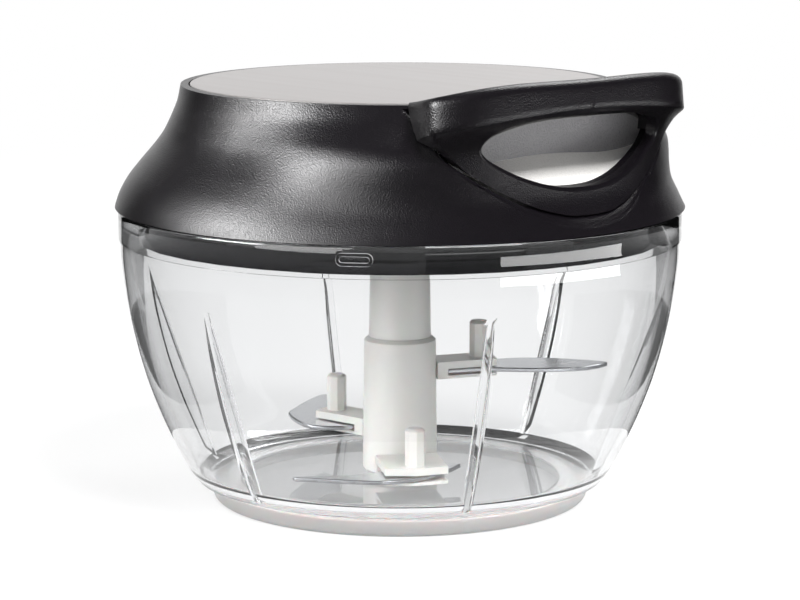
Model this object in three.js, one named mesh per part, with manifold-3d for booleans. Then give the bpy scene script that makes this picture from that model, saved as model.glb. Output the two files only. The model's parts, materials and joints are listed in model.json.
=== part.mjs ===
// A manual food chopper: a clear bowl on a non-slip ring, three sickle blades on a turning hub, and a
// bell-shaped lid that holds a cord reel, its return spring and a pull handle that fits flush in the lid.
// Millimetres, +Z up. The origin is on the bowl's axis, on the surface that the chopper stands on, and
// the handle is pulled along +X. The lid is shown set down on the bowl, not yet turned to lock.
import * as THREE from "three";
import { mergeVertices } from "three/addons/utils/BufferGeometryUtils.js";
import Module from "manifold-3d";

const wasm = await Module();
wasm.setup();

// Clearances and walls shared by several pieces
const clearance = 0.3; // between two pieces that touch or run on each other
const seam_gap = 0.7; // the shadow line round the handle
const overrun = 3; // how far a cutting shape reaches past the piece it cuts
const fusion = 0.5; // how deep a boss or rib is rooted in the wall that carries it
const turn_steps = 36; // facets round the large turned pieces
const handle_steps = 102; // round the handle's skin, with one on each corner of its band
const inner_steps = 24; // facets round the turned pieces inside the lid
const small_steps = 16; // facets round the small turned pieces
const screw_steps = 8; // facets round a screw and its hole
const round_steps = 4; // facets in a rounded corner
const full_turn = 360; // degrees
const degree = Math.PI / 180;
const lerp = THREE.MathUtils.lerp;

// Bowl and base ring
const bowl_radius = 65.1; // outside of the rim band
const bowl_height = 68.3; // top of the rim
const bowl_wall = 2.2;
const bowl_foot_radius = 45.6;
const rim_wall = 2.6;
const rim_chamfer = 0.5;
const band_height = 7.1;
const band_step = 0.35; // how far the band stands out of the wall
const bowl_bore_radius = bowl_radius - rim_wall; // inside of the rim band
const band_bottom = bowl_height - band_height;
const floor_bottom = 2.4;
const floor_thickness = 2.6;
const floor_top = floor_bottom + floor_thickness;
const floor_inset = 3; // of the floor's edge from the bowl's foot
const floor_radius = bowl_foot_radius - floor_inset;
const ring_height = 4.1;
const ring_width = 8; // from its bore to the bowl's foot
const ring_edge = 0.8; // chamfer at the foot
const ring_set_back = 0.6; // of its top edge from the bowl's foot
const ring_draft = 1.6; // how much narrower it is at the bottom
const ring_bore_radius = bowl_foot_radius - ring_width;
const ring_top_radius = bowl_foot_radius - ring_set_back;
const ring_foot_radius = ring_top_radius - ring_draft;
// outside of the bowl wall: share of its height, share of the step from foot radius to bowl radius
const bowl_wall_shares = [
  [0.015, 0.12],
  [0.073, 0.238],
  [0.17, 0.378],
  [0.3, 0.546],
  [0.465, 0.718],
  [0.68, 0.876],
  [0.893, 0.966],
];
const rib_count = 6;
const rib_azimuth = -22.5; // degrees, first rib
const rib_thickness = 1.8;
const rib_depth = 1.1; // at the floor
const rib_drop = 9.2; // from the band down to the ribs' points
const rib_top = band_bottom - rib_drop;
const mark_azimuth = -49; // degrees, the raised oval on the rim band
const mark_length = 8;
const mark_height = 2.8;
const mark_relief = 0.4;
const pin_radius = 2; // the steel pin that the blade hub turns on
const pin_cover = 0.6; // plastic under the pin
const pin_length = 10;
const pin_dome = 0.7;
const pin_bottom = floor_bottom + pin_cover;
const pin_top = pin_bottom + pin_length;
const pin_boss_radius = 5.5;
const pin_boss_depth = 1; // below the floor

// Bayonet: tabs inside the rim, lugs on the lid's skirt
const bayonet_count = 4;
const bayonet_play = 0.5; // all round, more than the usual clearance so that it turns freely
const tab_angle = 20; // degrees
const lug_angle = 23; // degrees
const bayonet_free_angle = 1.5; // degrees between a lug and a tab while the lid is not yet turned
const lug_azimuth = -48.5; // degrees, middle of the first lug
const tab_depth = 1.6;
const tab_drop = 2.1; // from the rim down to the tabs
const tab_thickness = 1.4;
const tab_inner_radius = bowl_bore_radius - tab_depth;
const tab_top = bowl_height - tab_drop;
const tab_bottom = tab_top - tab_thickness;
const lug_thickness = 2.4;
const lug_radius = bowl_bore_radius - bayonet_play;
const lug_gap = 0.4; // between a lug and the tab over it
const lug_top = tab_bottom - lug_gap;
const lug_bottom = lug_top - lug_thickness;
const lug_ramp_share = 0.5; // of a lug's height, cut off its leading end
const lug_lead_share = 0.125; // of a lug's length, cut down there

// Lid cover: a bell with a fairing on the handle's side
const lid_overhang = 0.7; // past the bowl's rim band
const lid_height = 28;
const lid_wall = 2.2;
const shoulder_width = 15.4; // from the neck out to the rim
const lid_radius = bowl_radius + lid_overhang;
const neck_radius = lid_radius - shoulder_width;
const lid_bottom = bowl_height + clearance;
const lid_top = lid_bottom + lid_height; // top of the lip round the disc
const lid_rows_shares = [0, 0.03, 0.12, 0.24, 0.37, 0.5, 0.6, 0.69, 0.77, 0.87, 1];
// radius at those heights, as shares of the step from neck to rim: round the back and at the handle
const back_shares = [1, 0.985, 0.925, 0.8, 0.612, 0.41, 0.275, 0.188, 0.122, 0.05, 0];
const front_shares = [1, 0.97, 0.89, 0.79, 0.755, 0.745, 0.715, 0.61, 0.43, 0.21, 0];
const fairing_inner = 40; // degrees from the handle's middle: full fairing up to here
const fairing_outer = 82; // degrees from the handle's middle: none from here on
const lip_height = 1.3; // of the lip over the top plate
const plate_thickness = 1.6;
const plate_top = lid_top - lip_height;
const plate_bottom = plate_top - plate_thickness; // underside of the lid's top plate
const lip_width = 1.8;
const disc_thickness = 1.2;
const disc_radius = neck_radius - lip_width - clearance;
const disc_bottom = plate_top + clearance;
const disc_top = disc_bottom + disc_thickness;
const disc_edge = 0.4;

// Handle seam and the recess behind it
const seam_half_width = 32.8;
const seam_rise = 4.6; // from the lid's edge to the seam's lowest point
const seam_height = 23.8; // from there to the disc's lip
const seam_bottom = lid_bottom + seam_rise;
const seam_top = seam_bottom + seam_height;
// half the seam's outline, from its lowest point up: share of the half width, share of the height
const seam_shares = [
  [0, 0],
  [0.15, 0.008],
  [0.33, 0.042],
  [0.49, 0.1],
  [0.64, 0.193],
  [0.79, 0.315],
  [0.866, 0.387],
  [0.93, 0.466],
  [0.985, 0.56],
  [1, 0.68],
];
const seam_points = 12;
const seam_inset = 3.8; // of the skin along the seam's lower part from the lid's edge
const seam_skin_radius = lid_radius - seam_inset;
const shelf_share = 0.588; // of the seam's height: above it the handle reaches out over the lid's shoulder
const shelf_height = lerp(seam_bottom, seam_top, shelf_share);
const wing_depth = 14.4; // how far back from the neck the parts that overhang the shoulder reach
const wing_back = neck_radius - wing_depth;
const wing_span = 40; // across, clear of the handle's widest point
const recess_set_back = 2.9; // of the recess's flat back wall from the neck
const recess_back = neck_radius - recess_set_back;
const recess_round = 5; // of the recess's upright corners
const recess_rise = 11.2; // how much higher the recess floor is at the back wall than at the seam
const recess_share = 0.622; // of the seam's height: from there up the recess has one outline at every depth
const recess_level = lerp(seam_bottom, seam_top, recess_share);
const recess_reach = lid_radius + overrun; // along X, clear of the lid
const recess_steps = 4; // lengths that its twisted sides are made in

// Handle
const handle_wall = 3;
const handle_set_back = 2.1; // of the band's front from the lid's edge
const handle_front = lid_radius - handle_set_back; // half the depth of the band's full oval
const handle_half_width = 44.8; // half the width of that oval, which the sides cut short
const handle_squareness = 4; // power of the oval: 2 is an ellipse
const handle_side_angle = 23.8; // degrees that the band's sides open outwards
const handle_side_offset = 13; // distance of those side planes from the axis
const handle_blend = 80; // sharpness of the corners between front and sides
const band_drop = 1; // of the band's lower edge below the lid's top, in the middle
const band_width = 7.4;
const band_low_middle = lid_top - band_drop;
const band_low_drop = 3.8; // how much lower it is at the band's ends
const band_low_angle = 34.5; // degrees at which that drop is reached
const band_top_middle = band_low_middle + band_width;
const band_top_drop = 4.2;
const band_top_angle = 38; // degrees at which that drop is reached
const band_lean = 0.9; // how far the band's face leans in towards its top
const band_round = 2; // round along the band's upper edge
const band_foot_round = 0.6; // round along the band's lower edge
const flare_height = 14.1; // the skin below the band swells over this height
const flare_start = band_low_middle - flare_height;
// the hollow of that swell: share of its height, share of the step out to the band
const flare_shares = [
  [0, 0],
  [0.35, 0.06],
  [0.62, 0.22],
  [0.84, 0.55],
  [1, 1],
];
const top_plate = 2.6; // thickness of the handle's top
const top_inner_height = seam_top; // the handle's top where it meets the disc's lip
const top_overhang = 0.2;
const top_outer_radius = lid_radius + top_overhang; // where the top reaches the band's upper edge
const eye_half_width = 25.7;
const eye_rise = 5.5; // from the seam's lowest point
const eye_height = 15.3;
const eye_bottom = seam_bottom + eye_rise;
const eye_top = eye_bottom + eye_height;
const eye_points = 16;
// half the finger opening's outline, from its lowest point to its highest
const eye_shares = [
  [0, 0],
  [0.2, 0.014],
  [0.42, 0.085],
  [0.645, 0.21],
  [0.83, 0.365],
  [0.95, 0.5],
  [1, 0.63],
  [0.95, 0.79],
  [0.765, 0.915],
  [0.53, 0.98],
  [0.2, 1],
  [0, 1],
];
const sill_depth = 5; // the handle's lower ledge, from the skin inwards

// Cord way: pocket in the recess floor, guide, lug on the handle, anchor
const cord_rise = 2.5; // above the seam's lowest point
const cord_height = seam_bottom + cord_rise;
const cord_radius = 0.8;
const cord_steps = 14;
const pocket_depth = 7.5; // from the skin inwards
const pocket_half_width = 6.6;
const pocket_back = seam_skin_radius - pocket_depth;
const pocket_bottom = seam_bottom + clearance;
const guide_radius = 1.7;
const guide_flange_radius = 2;
const guide_flange = 0.8;
const guide_bore = 1.1;
const guide_inner_lip = 0.7;
const lug_half_width = 5.4;
const lug_length = 4.9;
const lug_cover = 1; // over the anchor
const lug_lift = 0.45; // of the lug's underside over the pocket's floor
const lug_set_back = 1.2; // from the skin
const lug_front = seam_skin_radius - lug_set_back;
const lug_back = lug_front - lug_length;
const lug_low = pocket_bottom + lug_lift;
const anchor_radius = 1.3;
const anchor_length = 2.1;
const anchor_cover = 0.7; // of plastic in front of it
const anchor_end = lug_front - anchor_cover;
const anchor_start = anchor_end - anchor_length;
const lug_high = cord_height + anchor_radius + lug_cover;

// Lid base
const base_floor = 2.2;
const base_floor_drop = 2.1; // from the bowl's rim down to the floor's upper side
const base_floor_top = bowl_height - base_floor_drop;
const base_floor_bottom = base_floor_top - base_floor;
const skirt_wall = 2.2;
const skirt_drop = 6.5; // from the bowl's rim
const skirt_radius = tab_inner_radius - bayonet_play;
const skirt_inner_radius = skirt_radius - skirt_wall;
const skirt_bottom = bowl_height - skirt_drop;
const flange_thickness = 1.5;
const flange_inset = 0.2; // of its edge from the rim's bore
const flange_lift = 0.4; // over the rim
const flange_radius = bowl_bore_radius - flange_inset;
const flange_bottom = bowl_height + flange_lift;
const flange_top = flange_bottom + flange_thickness;
const seal_groove_depth = 0.8;
const seal_drop = 1.7; // from the bowl's rim
const seal_height = 1.5;
const seal_play = 0.4;
const seal_lip = 0.4;
const seal_groove_radius = skirt_radius - seal_groove_depth;
const seal_bottom = bowl_height - seal_drop;
const seal_radius = bowl_bore_radius - seal_play;
const boss_radius = 11.2;
const boss_depth = 3.4; // below the floor
const boss_bottom = base_floor_bottom - boss_depth;
const post_inset = 6.3; // of the four posts under the lid's screws from the disc's edge
const post_circle = disc_radius - post_inset;
const post_radius = 4;
const post_count = 4;
const post_azimuth = 45; // degrees
const screw_radius = 1.5;
const screw_head_radius = 2.7;
const screw_head = 1;
const screw_length = 14;
const slot_width = 0.8; // driver slot
const slot_depth = 0.5;

// Reel, spindle and spring
const housing_room = 8; // between the posts and the spring housing
const housing_radius = post_circle - post_radius - housing_room;
const reel_set_in = 2.4; // of the reel's flanges from the housing's outside
const reel_flange_radius = housing_radius - reel_set_in;
const reel_lift = 4.8; // of the reel over the lid base's floor
const reel_bottom = base_floor_top + reel_lift;
const reel_flange = 1.2;
const reel_flange_depth = 4.6; // from its edge in to the drum
const reel_groove = 5.4;
const reel_top_flange = 1;
const reel_hub_radius = 8.8;
const reel_wall = 2.5;
const reel_web = 2;
const drum_radius = reel_flange_radius - reel_flange_depth;
const reel_rim_radius = drum_radius - reel_wall; // inside of the drum
const winding_depth = 3; // two layers of cord
const winding_outer = drum_radius + winding_depth;
const cord_layer = 1;
const winding_radius = winding_outer - cord_layer; // at which the cord runs on
const winding_turns = 3;
const winding_crown = 0.5; // how far each turn stands out of the winding
const spindle_radius = 5.4;
const dog_count = 3;
const dog_core_radius = 3.2;
const dog_radius = 4.9;
const dog_angle = 30; // degrees
const dog_length = 12.8;
const clip_thickness = 0.8;
const clip_drop = 0.5; // below the boss
const clip_bottom = boss_bottom - clip_drop - clip_thickness;
const dog_bottom = clip_bottom - dog_length;
const clip_radius = 7.2;
const clip_groove_radius = 3.6;
const clip_opening = 60; // degrees
const key_radius = 6; // hexagon that turns the reel
const key_sides = 6;
const arbor_radius = 7;
const journal_radius = 4.3;
const bush_wall = 2.2;
const bush_flange_radius = 10.4;
const bush_flange = 1.1;
const housing_wall = 1.8;
const housing_lift = 1.4; // over the reel
const housing_height = 12.6;
const housing_bottom = reel_bottom + reel_flange + reel_groove + reel_top_flange + housing_lift;
const housing_top = housing_bottom + housing_height;
const housing_plate = 1.4;
const housing_ear_reach = 4.5; // of the ears' holes from the housing's outside
const housing_post_circle = housing_radius + housing_ear_reach;
const housing_post_radius = 3.2;
const housing_post_count = 3;
const housing_post_azimuth = 60; // degrees
const housing_ear = 1.8; // thickness of its screw ears
const housing_screw_radius = 1.2;
const housing_screw_head_radius = 2.3;
const housing_screw_length = 9;
const spring_plate = 0.6;
const spring_thickness = 0.5;
const spring_turns = 5;
const spring_steps = 12; // per turn
const spring_height = 8;

// Blade hub and blades
const hub_lift = 0.9; // over the bowl's floor
const hub_gap = 2; // between the hub and the lid base's boss
const hub_neck_length = 6.2; // from the upper arm to the shoulder
const hub_bottom = floor_top + hub_lift;
const hub_top = boss_bottom - hub_gap;
const hub_foot_radius = 8.75;
const hub_shoulder_radius = 8.4;
const hub_neck_radius = 7.25;
const hub_top_radius = 6.9;
const hub_round = 0.8;
const socket_radius = 5.6;
const socket_depth = 13.6;
const socket_bottom = hub_top - socket_depth;
const key_rib_radius = 3.65;
const arm_height = 4;
const peg_radius = 2.35;
const peg_height = 8.6;
const peg_round = 0.6;
const rivet_radius = 1.5;
const blade_thickness = 1;
const blade_seat = 1; // from an arm's underside to its blade
const blade_room = 14.5; // from the longest blade's reach to the bowl's rim
const blade_reach = bowl_radius - blade_room;
const slot_margin = 2.1; // from the hub to the blade's slot
const slot_start = hub_shoulder_radius + slot_margin;
const blade_root = slot_start + clearance;
const blade_root_half_width = 3.6;
const blade_points = 18;
const peg_share = 0.226; // of the way from root to reach
const peg_circle = lerp(blade_root, blade_reach, peg_share);
const arm_end = 3.8; // past the peg
const arm_reach = peg_circle + arm_end;
// Each arm: direction in degrees, height of its underside above the floor, width, and its blade's
// outline from the trailing side of the root round the tip to the leading side: share of the way from
// the root to the longest blade's reach, share of that reach across
const upper_arm = { azimuth: 69.5, rise: 22.4, width: 8.6 };
const middle_arm = { azimuth: 189.5, rise: 8.4, width: 8.6 };
const lower_arm = { azimuth: -30.5, rise: 2.3, width: 14.5 };
const hub_shoulder = floor_top + upper_arm.rise + arm_height + hub_neck_length;
const upper_blade_shares = [
  [0.237, -0.078],
  [0.402, -0.144],
  [0.598, -0.2],
  [0.809, -0.229],
  [0.975, -0.172],
  [0.944, -0.123],
  [0.837, -0.044],
  [0.657, 0.052],
  [0.451, 0.098],
  [0.237, 0.085],
];
const middle_blade_shares = [
  [0.237, -0.078],
  [0.402, -0.19],
  [0.568, -0.315],
  [0.746, -0.375],
  [0.708, -0.22],
  [0.611, -0.033],
  [0.545, 0.067],
  [0.372, 0.159],
  [0.186, 0.205],
  [0.017, 0.115],
];
const lower_blade_shares = [
  [0.11, -0.1],
  [0.186, -0.26],
  [0.174, -0.4],
  [0.176, -0.567],
  [0.259, -0.419],
  [0.341, -0.263],
  [0.37, -0.142],
  [0.3, 0.03],
  [0.165, 0.155],
  [0.007, 0.247],
  [0.006, 0.2],
];

// Materials
const plastic = (color, roughness) => new THREE.MeshStandardMaterial({ color, roughness, metalness: 0 });
const metal = (color, roughness) => new THREE.MeshStandardMaterial({ color, roughness, metalness: 1 });
const clear_plastic = new THREE.MeshStandardMaterial({
  color: "#eef1f3",
  roughness: 0.08,
  metalness: 0,
  transparent: true,
  opacity: 0.3,
});
const black_grained = plastic("#1c1b1f", 0.55);
const black_gloss = plastic("#141416", 0.25);
const black_rubber = plastic("#161616", 0.8);
const milky_rubber = plastic("#dcdcd6", 0.45);
const white_plastic = plastic("#e9e8e1", 0.45);
const grey_plastic = plastic("#8d8f92", 0.5);
const blade_steel = metal("#b9bcc0", 0.28);
const pin_steel = metal("#c3c5c7", 0.3);
const spring_steel = metal("#7f848c", 0.35);
const silver_disc = metal("#c9c7c4", 0.4);
const brass = metal("#b59b5a", 0.35);
const cord_fibre = plastic("#d8d6cf", 0.85);

// A closed three.js geometry as a solid
function solidOf(geometry) {
  const bare = geometry.index ? geometry.toNonIndexed() : geometry.clone();
  bare.deleteAttribute("normal");
  bare.deleteAttribute("uv");
  const merged = mergeVertices(bare);
  const corners = merged.index.array;
  const kept = [];
  for (let i = 0; i < corners.length; i += 3) {
    const [a, b, c] = [corners[i], corners[i + 1], corners[i + 2]];
    if (a !== b && b !== c && c !== a) kept.push(a, b, c);
  }
  return new wasm.Manifold(
    new wasm.Mesh({
      numProp: 3,
      vertProperties: merged.attributes.position.array,
      triVerts: new Uint32Array(kept),
    }),
  );
}

// A solid as a named mesh
function meshOf(name, solid, material) {
  const data = solid.getMesh();
  const geometry = new THREE.BufferGeometry();
  geometry.setAttribute("position", new THREE.BufferAttribute(data.vertProperties, data.numProp));
  geometry.setIndex(new THREE.BufferAttribute(data.triVerts, 1));
  const mesh = new THREE.Mesh(geometry.toNonIndexed(), material);
  mesh.geometry.computeVertexNormals();
  mesh.name = name;
  return mesh;
}

const joined = (solids) => solids.reduce((all, one) => all.add(one));
const cut = (solid, tools) => tools.reduce((left, tool) => left.subtract(tool), solid);
const polar = (radius, azimuth) => [
  radius * Math.cos(azimuth * degree),
  radius * Math.sin(azimuth * degree),
];

// A body whose rings take radius and height from functions of the azimuth. Rows run round the section:
// from axis to axis, or right round a closed section.
function ringBody(rows, steps) {
  const onAxis = rows.map((row) => row(0)[0] === 0);
  const closed = !(onAxis[0] && onAxis[rows.length - 1]);
  const all = closed ? [...rows, rows[0]] : rows;
  const section = rows.map((row) => new THREE.Vector2(...row(0)));
  const order = THREE.ShapeUtils.area(section) < 0 ? [...all].reverse() : all;
  const unit = order.map((row, level) => new THREE.Vector2(row(0)[0] === 0 ? 0 : 1, level));
  const geometry = new THREE.LatheGeometry(unit, steps).rotateX(Math.PI / 2);
  const place = geometry.attributes.position;
  for (let i = 0; i < place.count; i++) {
    const azimuth = Math.atan2(place.getY(i), place.getX(i));
    const [radius, height] = order[Math.round(place.getZ(i))](azimuth);
    const share = Math.hypot(place.getX(i), place.getY(i));
    if (share === 0) place.setXYZ(i, 0, 0, height);
    else place.setXYZ(i, (place.getX(i) / share) * radius, (place.getY(i) / share) * radius, height);
  }
  return solidOf(geometry);
}

// A turned body from a section of [radius, height] points
const turned = (section, steps = turn_steps) =>
  ringBody(
    section.map((point) => () => point),
    steps,
  );

// A plain round bar along +Z
const bar = (radius, bottom, top, steps = small_steps) =>
  solidOf(
    new THREE.CylinderGeometry(radius, radius, top - bottom, steps)
      .rotateX(Math.PI / 2)
      .translate(0, 0, (bottom + top) / 2),
  );

const box = (x0, x1, y0, y1, z0, z1) =>
  solidOf(
    new THREE.BoxGeometry(x1 - x0, y1 - y0, z1 - z0).translate((x0 + x1) / 2, (y0 + y1) / 2, (z0 + z1) / 2),
  );

// An outline drawn in the plane of Y and Z, extruded along +X
function alongX(outline, start, end, steps = 1) {
  const turn = new THREE.Matrix4().makeBasis(
    new THREE.Vector3(0, 1, 0),
    new THREE.Vector3(0, 0, 1),
    new THREE.Vector3(1, 0, 0),
  );
  const settings = { depth: end - start, steps, bevelEnabled: false };
  const geometry = new THREE.ExtrudeGeometry(new THREE.Shape(outline), settings);
  return geometry.applyMatrix4(turn).translate(start, 0, 0);
}

// A flat plate from an outline in X and Y
function plate(outline, bottom, top) {
  const settings = { depth: top - bottom, bevelEnabled: false };
  return solidOf(new THREE.ExtrudeGeometry(new THREE.Shape(outline), settings).translate(0, 0, bottom));
}

// Part of a ring between two azimuths in degrees
function ringSector(inner, outer, bottom, top, from, to) {
  const shape = new THREE.Shape();
  shape.absarc(0, 0, outer, from * degree, to * degree, false);
  shape.absarc(0, 0, inner, to * degree, from * degree, true);
  const settings = { depth: top - bottom, bevelEnabled: false, curveSegments: small_steps / 4 };
  return solidOf(new THREE.ExtrudeGeometry(shape, settings).translate(0, 0, bottom));
}

const moved = (solid, x, y, z = 0) => solid.translate([x, y, z]);
const spun = (solid, azimuth) => solid.rotate([0, 0, azimuth]);
const spread = (count, first = 0) => Array.from({ length: count }, (_, i) => first + (i * full_turn) / count);

// Both halves of a symmetric outline, smoothed: shares run from the lowest point up one side
function symmetricOutline(shares, halfWidth, bottom, top, points) {
  const side = new THREE.SplineCurve(
    shares.map(([across, up]) => new THREE.Vector2(across * halfWidth, lerp(bottom, top, up))),
  ).getPoints(points);
  const other = side.slice(1, -1).map((point) => new THREE.Vector2(-point.x, point.y));
  return { side, other };
}

// Every point of an open outline moved sideways, to its left
function shifted(points, distance) {
  return points.map((point, i) => {
    const before = points[Math.max(i - 1, 0)];
    const after = points[Math.min(i + 1, points.length - 1)];
    const along = after.clone().sub(before).normalize();
    return new THREE.Vector2(point.x - along.y * distance, point.y + along.x * distance);
  });
}

// Lid skin: radius at a row and an azimuth in radians
function fairing(azimuth) {
  const away = Math.abs(azimuth) / degree;
  const share = THREE.MathUtils.clamp((fairing_outer - away) / (fairing_outer - fairing_inner), 0, 1);
  return THREE.MathUtils.smoothstep(share, 0, 1);
}
const lidRadius = (row, azimuth) =>
  lerp(neck_radius, lid_radius, lerp(back_shares[row], front_shares[row], fairing(azimuth)));
const lidHeight = (row) => lerp(lid_bottom, lid_top, lid_rows_shares[row]);

// The bell, grown or shrunk by a distance, from a bottom to a top height
function bell(grow, bottom, top) {
  const rows = lid_rows_shares
    .map((_, row) => row)
    .filter((row) => lidHeight(row) > bottom && lidHeight(row) < top);
  const last = rows[rows.length - 1];
  return ringBody(
    [
      () => [0, bottom],
      (a) => [lidRadius(rows[0] > 0 ? rows[0] - 1 : 0, a) + grow, bottom],
      ...rows.map((row) => (a) => [lidRadius(row, a) + grow, lidHeight(row)]),
      (a) => [lidRadius(last, a) + grow, top],
      () => [0, top],
    ],
    turn_steps,
  );
}

// The recess in plan, with its two inner corners rounded
function recessPlan(inset, back, ceiling) {
  const half = seam_half_width - inset + fusion;
  const round = recess_round - inset;
  const plan = new THREE.Shape();
  plan.moveTo(recess_reach, -half).lineTo(recess_reach, half);
  plan.absarc(back + round, half - round, round, Math.PI / 2, Math.PI, false);
  plan.absarc(back + round, round - half, round, Math.PI, Math.PI * (1 + 1 / 2), false);
  return plate(plan.getPoints(round_steps), lid_bottom - overrun, ceiling + overrun);
}

// The recess behind the handle: the seam's outline run back to the flat wall, its floor rising
function recess(inset, back, ceiling) {
  const { side } = symmetricOutline(seam_shares, seam_half_width, seam_bottom, seam_top, seam_points);
  const low = shifted(side, inset).map((point) => new THREE.Vector2(Math.max(point.x, 0), point.y));
  const edge = low[low.length - 1];
  const right = [...low, new THREE.Vector2(edge.x, ceiling)];
  const left = right.filter((point) => point.x > 0).map((point) => new THREE.Vector2(-point.x, point.y));
  const geometry = alongX([...right, ...left.reverse()], back, recess_reach, recess_steps);
  const place = geometry.attributes.position;
  const slope = recess_rise / (seam_skin_radius - recess_back);
  for (let i = 0; i < place.count; i++) {
    const [x, y, z] = [place.getX(i), place.getY(i), place.getZ(i)];
    const across = Math.min(Math.abs(y), seam_half_width);
    const skin = Math.sqrt(seam_skin_radius ** 2 - across ** 2);
    const share = THREE.MathUtils.clamp((recess_level - z) / (recess_level - seam_bottom), 0, 1);
    place.setZ(i, z + slope * (skin - x) * share);
  }
  return solidOf(geometry).intersect(recessPlan(inset, back, ceiling));
}

// Handle skin
function handleRadius(azimuth) {
  const side = handle_side_angle * degree;
  const away = Math.abs(azimuth);
  const [ahead, across] = [Math.cos(away) / handle_front, Math.sin(away) / handle_half_width];
  const front = ahead ** handle_squareness + across ** handle_squareness;
  const flank = Math.max(Math.sin(away - side), 0) / handle_side_offset;
  const sum = front ** (handle_blend / handle_squareness) + flank ** handle_blend;
  return Math.max(sum ** (-1 / handle_blend), neck_radius);
}
const bandAngle = (azimuth) => Math.min(Math.abs(azimuth) / degree, band_top_angle);
const bandLow = (azimuth) => band_low_middle - band_low_drop * (bandAngle(azimuth) / band_low_angle) ** 2;
const bandTop = (azimuth) => band_top_middle - band_top_drop * (bandAngle(azimuth) / band_top_angle) ** 2;
const handleTop = (radius, azimuth) =>
  top_inner_height +
  ((bandTop(azimuth) - top_inner_height) * (radius - neck_radius)) / (top_outer_radius - neck_radius);

// The handle's full body, shrunk on its outside by skin and on its top by roof
function handleBody(skin, roof) {
  const below = seam_bottom - overrun;
  const flare = ([up, out]) => (a) => [
    Math.min(lerp(seam_skin_radius, handleRadius(a) - band_foot_round / 2, out), handleRadius(a)) - skin,
    lerp(flare_start, bandLow(a), up),
  ];
  const edge = (a) => handleTop(handleRadius(a), a);
  return ringBody(
    [
      () => [0, below],
      (a) => [Math.min(seam_skin_radius + seam_gap, handleRadius(a)) - skin, below],
      (a) => [Math.min(seam_skin_radius + seam_gap, handleRadius(a)) - skin, seam_bottom],
      (a) => [Math.min(seam_skin_radius, handleRadius(a)) - skin, lerp(seam_bottom, flare_start, 1 / 2)],
      ...flare_shares.map(flare),
      (a) => [handleRadius(a) - skin, bandLow(a) + band_foot_round],
      (a) => [handleRadius(a) - band_lean / 2 - skin, edge(a) - band_round - roof / 2],
      (a) => [handleRadius(a) - band_lean - band_round / 4 - skin, edge(a) - band_round / 4 - roof],
      (a) => [handleRadius(a) - band_lean - band_round - skin, edge(a) - roof],
      (a) => [neck_radius - overrun, handleTop(neck_radius - overrun, a) - roof],
      () => [0, handleTop(neck_radius - overrun, 0) - roof],
    ],
    handle_steps,
  );
}

// Where the handle may reach out over the lid's shoulder: up from the seam, then above the band's ends
function overShoulder() {
  const end = band_low_angle * degree;
  const seam = seam_half_width - seam_gap;
  const corner = handleRadius(end) * Math.sin(end);
  const right = [
    [seam, shelf_height],
    [corner, bandLow(end)],
    [wing_span, bandLow(end)],
    [wing_span, band_top_middle + overrun],
  ].map(([across, height]) => new THREE.Vector2(across, height));
  const left = right.map((point) => new THREE.Vector2(-point.x, point.y));
  return solidOf(alongX([...right, ...left.reverse()], wing_back, recess_reach));
}

// Screws stand head up, their heads' undersides at height 0
function screw(radius, headRadius, length) {
  const shank = bar(radius, -length, fusion, screw_steps);
  const head = bar(headRadius, 0, screw_head, screw_steps);
  const slot_half = slot_width / 2;
  const slot = box(-headRadius, headRadius, -slot_half, slot_half, screw_head - slot_depth, overrun);
  return shank.add(head).subtract(slot);
}

// Base ring
const base_ring = turned([
  [ring_bore_radius, ring_edge],
  [ring_bore_radius + ring_edge, 0],
  [ring_foot_radius - ring_edge, 0],
  [ring_foot_radius, ring_edge],
  [ring_top_radius, ring_height],
  [ring_bore_radius, ring_height],
]);

// Bowl
const foot_height = ring_height + clearance;
const wallPoint = ([up, out]) => [
  lerp(bowl_foot_radius, bowl_radius, out),
  lerp(foot_height, band_bottom, up),
];
const bowl_outside = bowl_wall_shares.map(wallPoint);
const bowl_inside = bowl_outside.slice(1).map(([radius, height]) => [radius - bowl_wall, height]);
const inner_floor_radius = ring_bore_radius - clearance;
const rib_top_share = (rib_top - foot_height) / (band_bottom - foot_height);

// Outside radius of the wall at a share of its height
function wallRadius(share) {
  const above = bowl_wall_shares.findIndex(([up]) => up > share);
  const [low, high] = [bowl_wall_shares[above - 1], bowl_wall_shares[above]];
  return lerp(bowl_foot_radius, bowl_radius, lerp(low[1], high[1], (share - low[0]) / (high[0] - low[0])));
}

function bowlShell() {
  return turned([
    [0, floor_bottom],
    [inner_floor_radius, floor_bottom],
    [inner_floor_radius, foot_height],
    [bowl_foot_radius - ring_edge, foot_height],
    ...bowl_outside,
    [bowl_radius - band_step, band_bottom],
    [bowl_radius, band_bottom + band_step],
    [bowl_radius, bowl_height - rim_chamfer],
    [bowl_radius - rim_chamfer, bowl_height],
    [bowl_bore_radius, bowl_height],
    [bowl_bore_radius, band_bottom - rim_chamfer],
    ...bowl_inside.reverse(),
    [floor_radius + rim_chamfer, floor_top + rim_chamfer / 2],
    [floor_radius, floor_top],
    [0, floor_top],
  ]);
}

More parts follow.
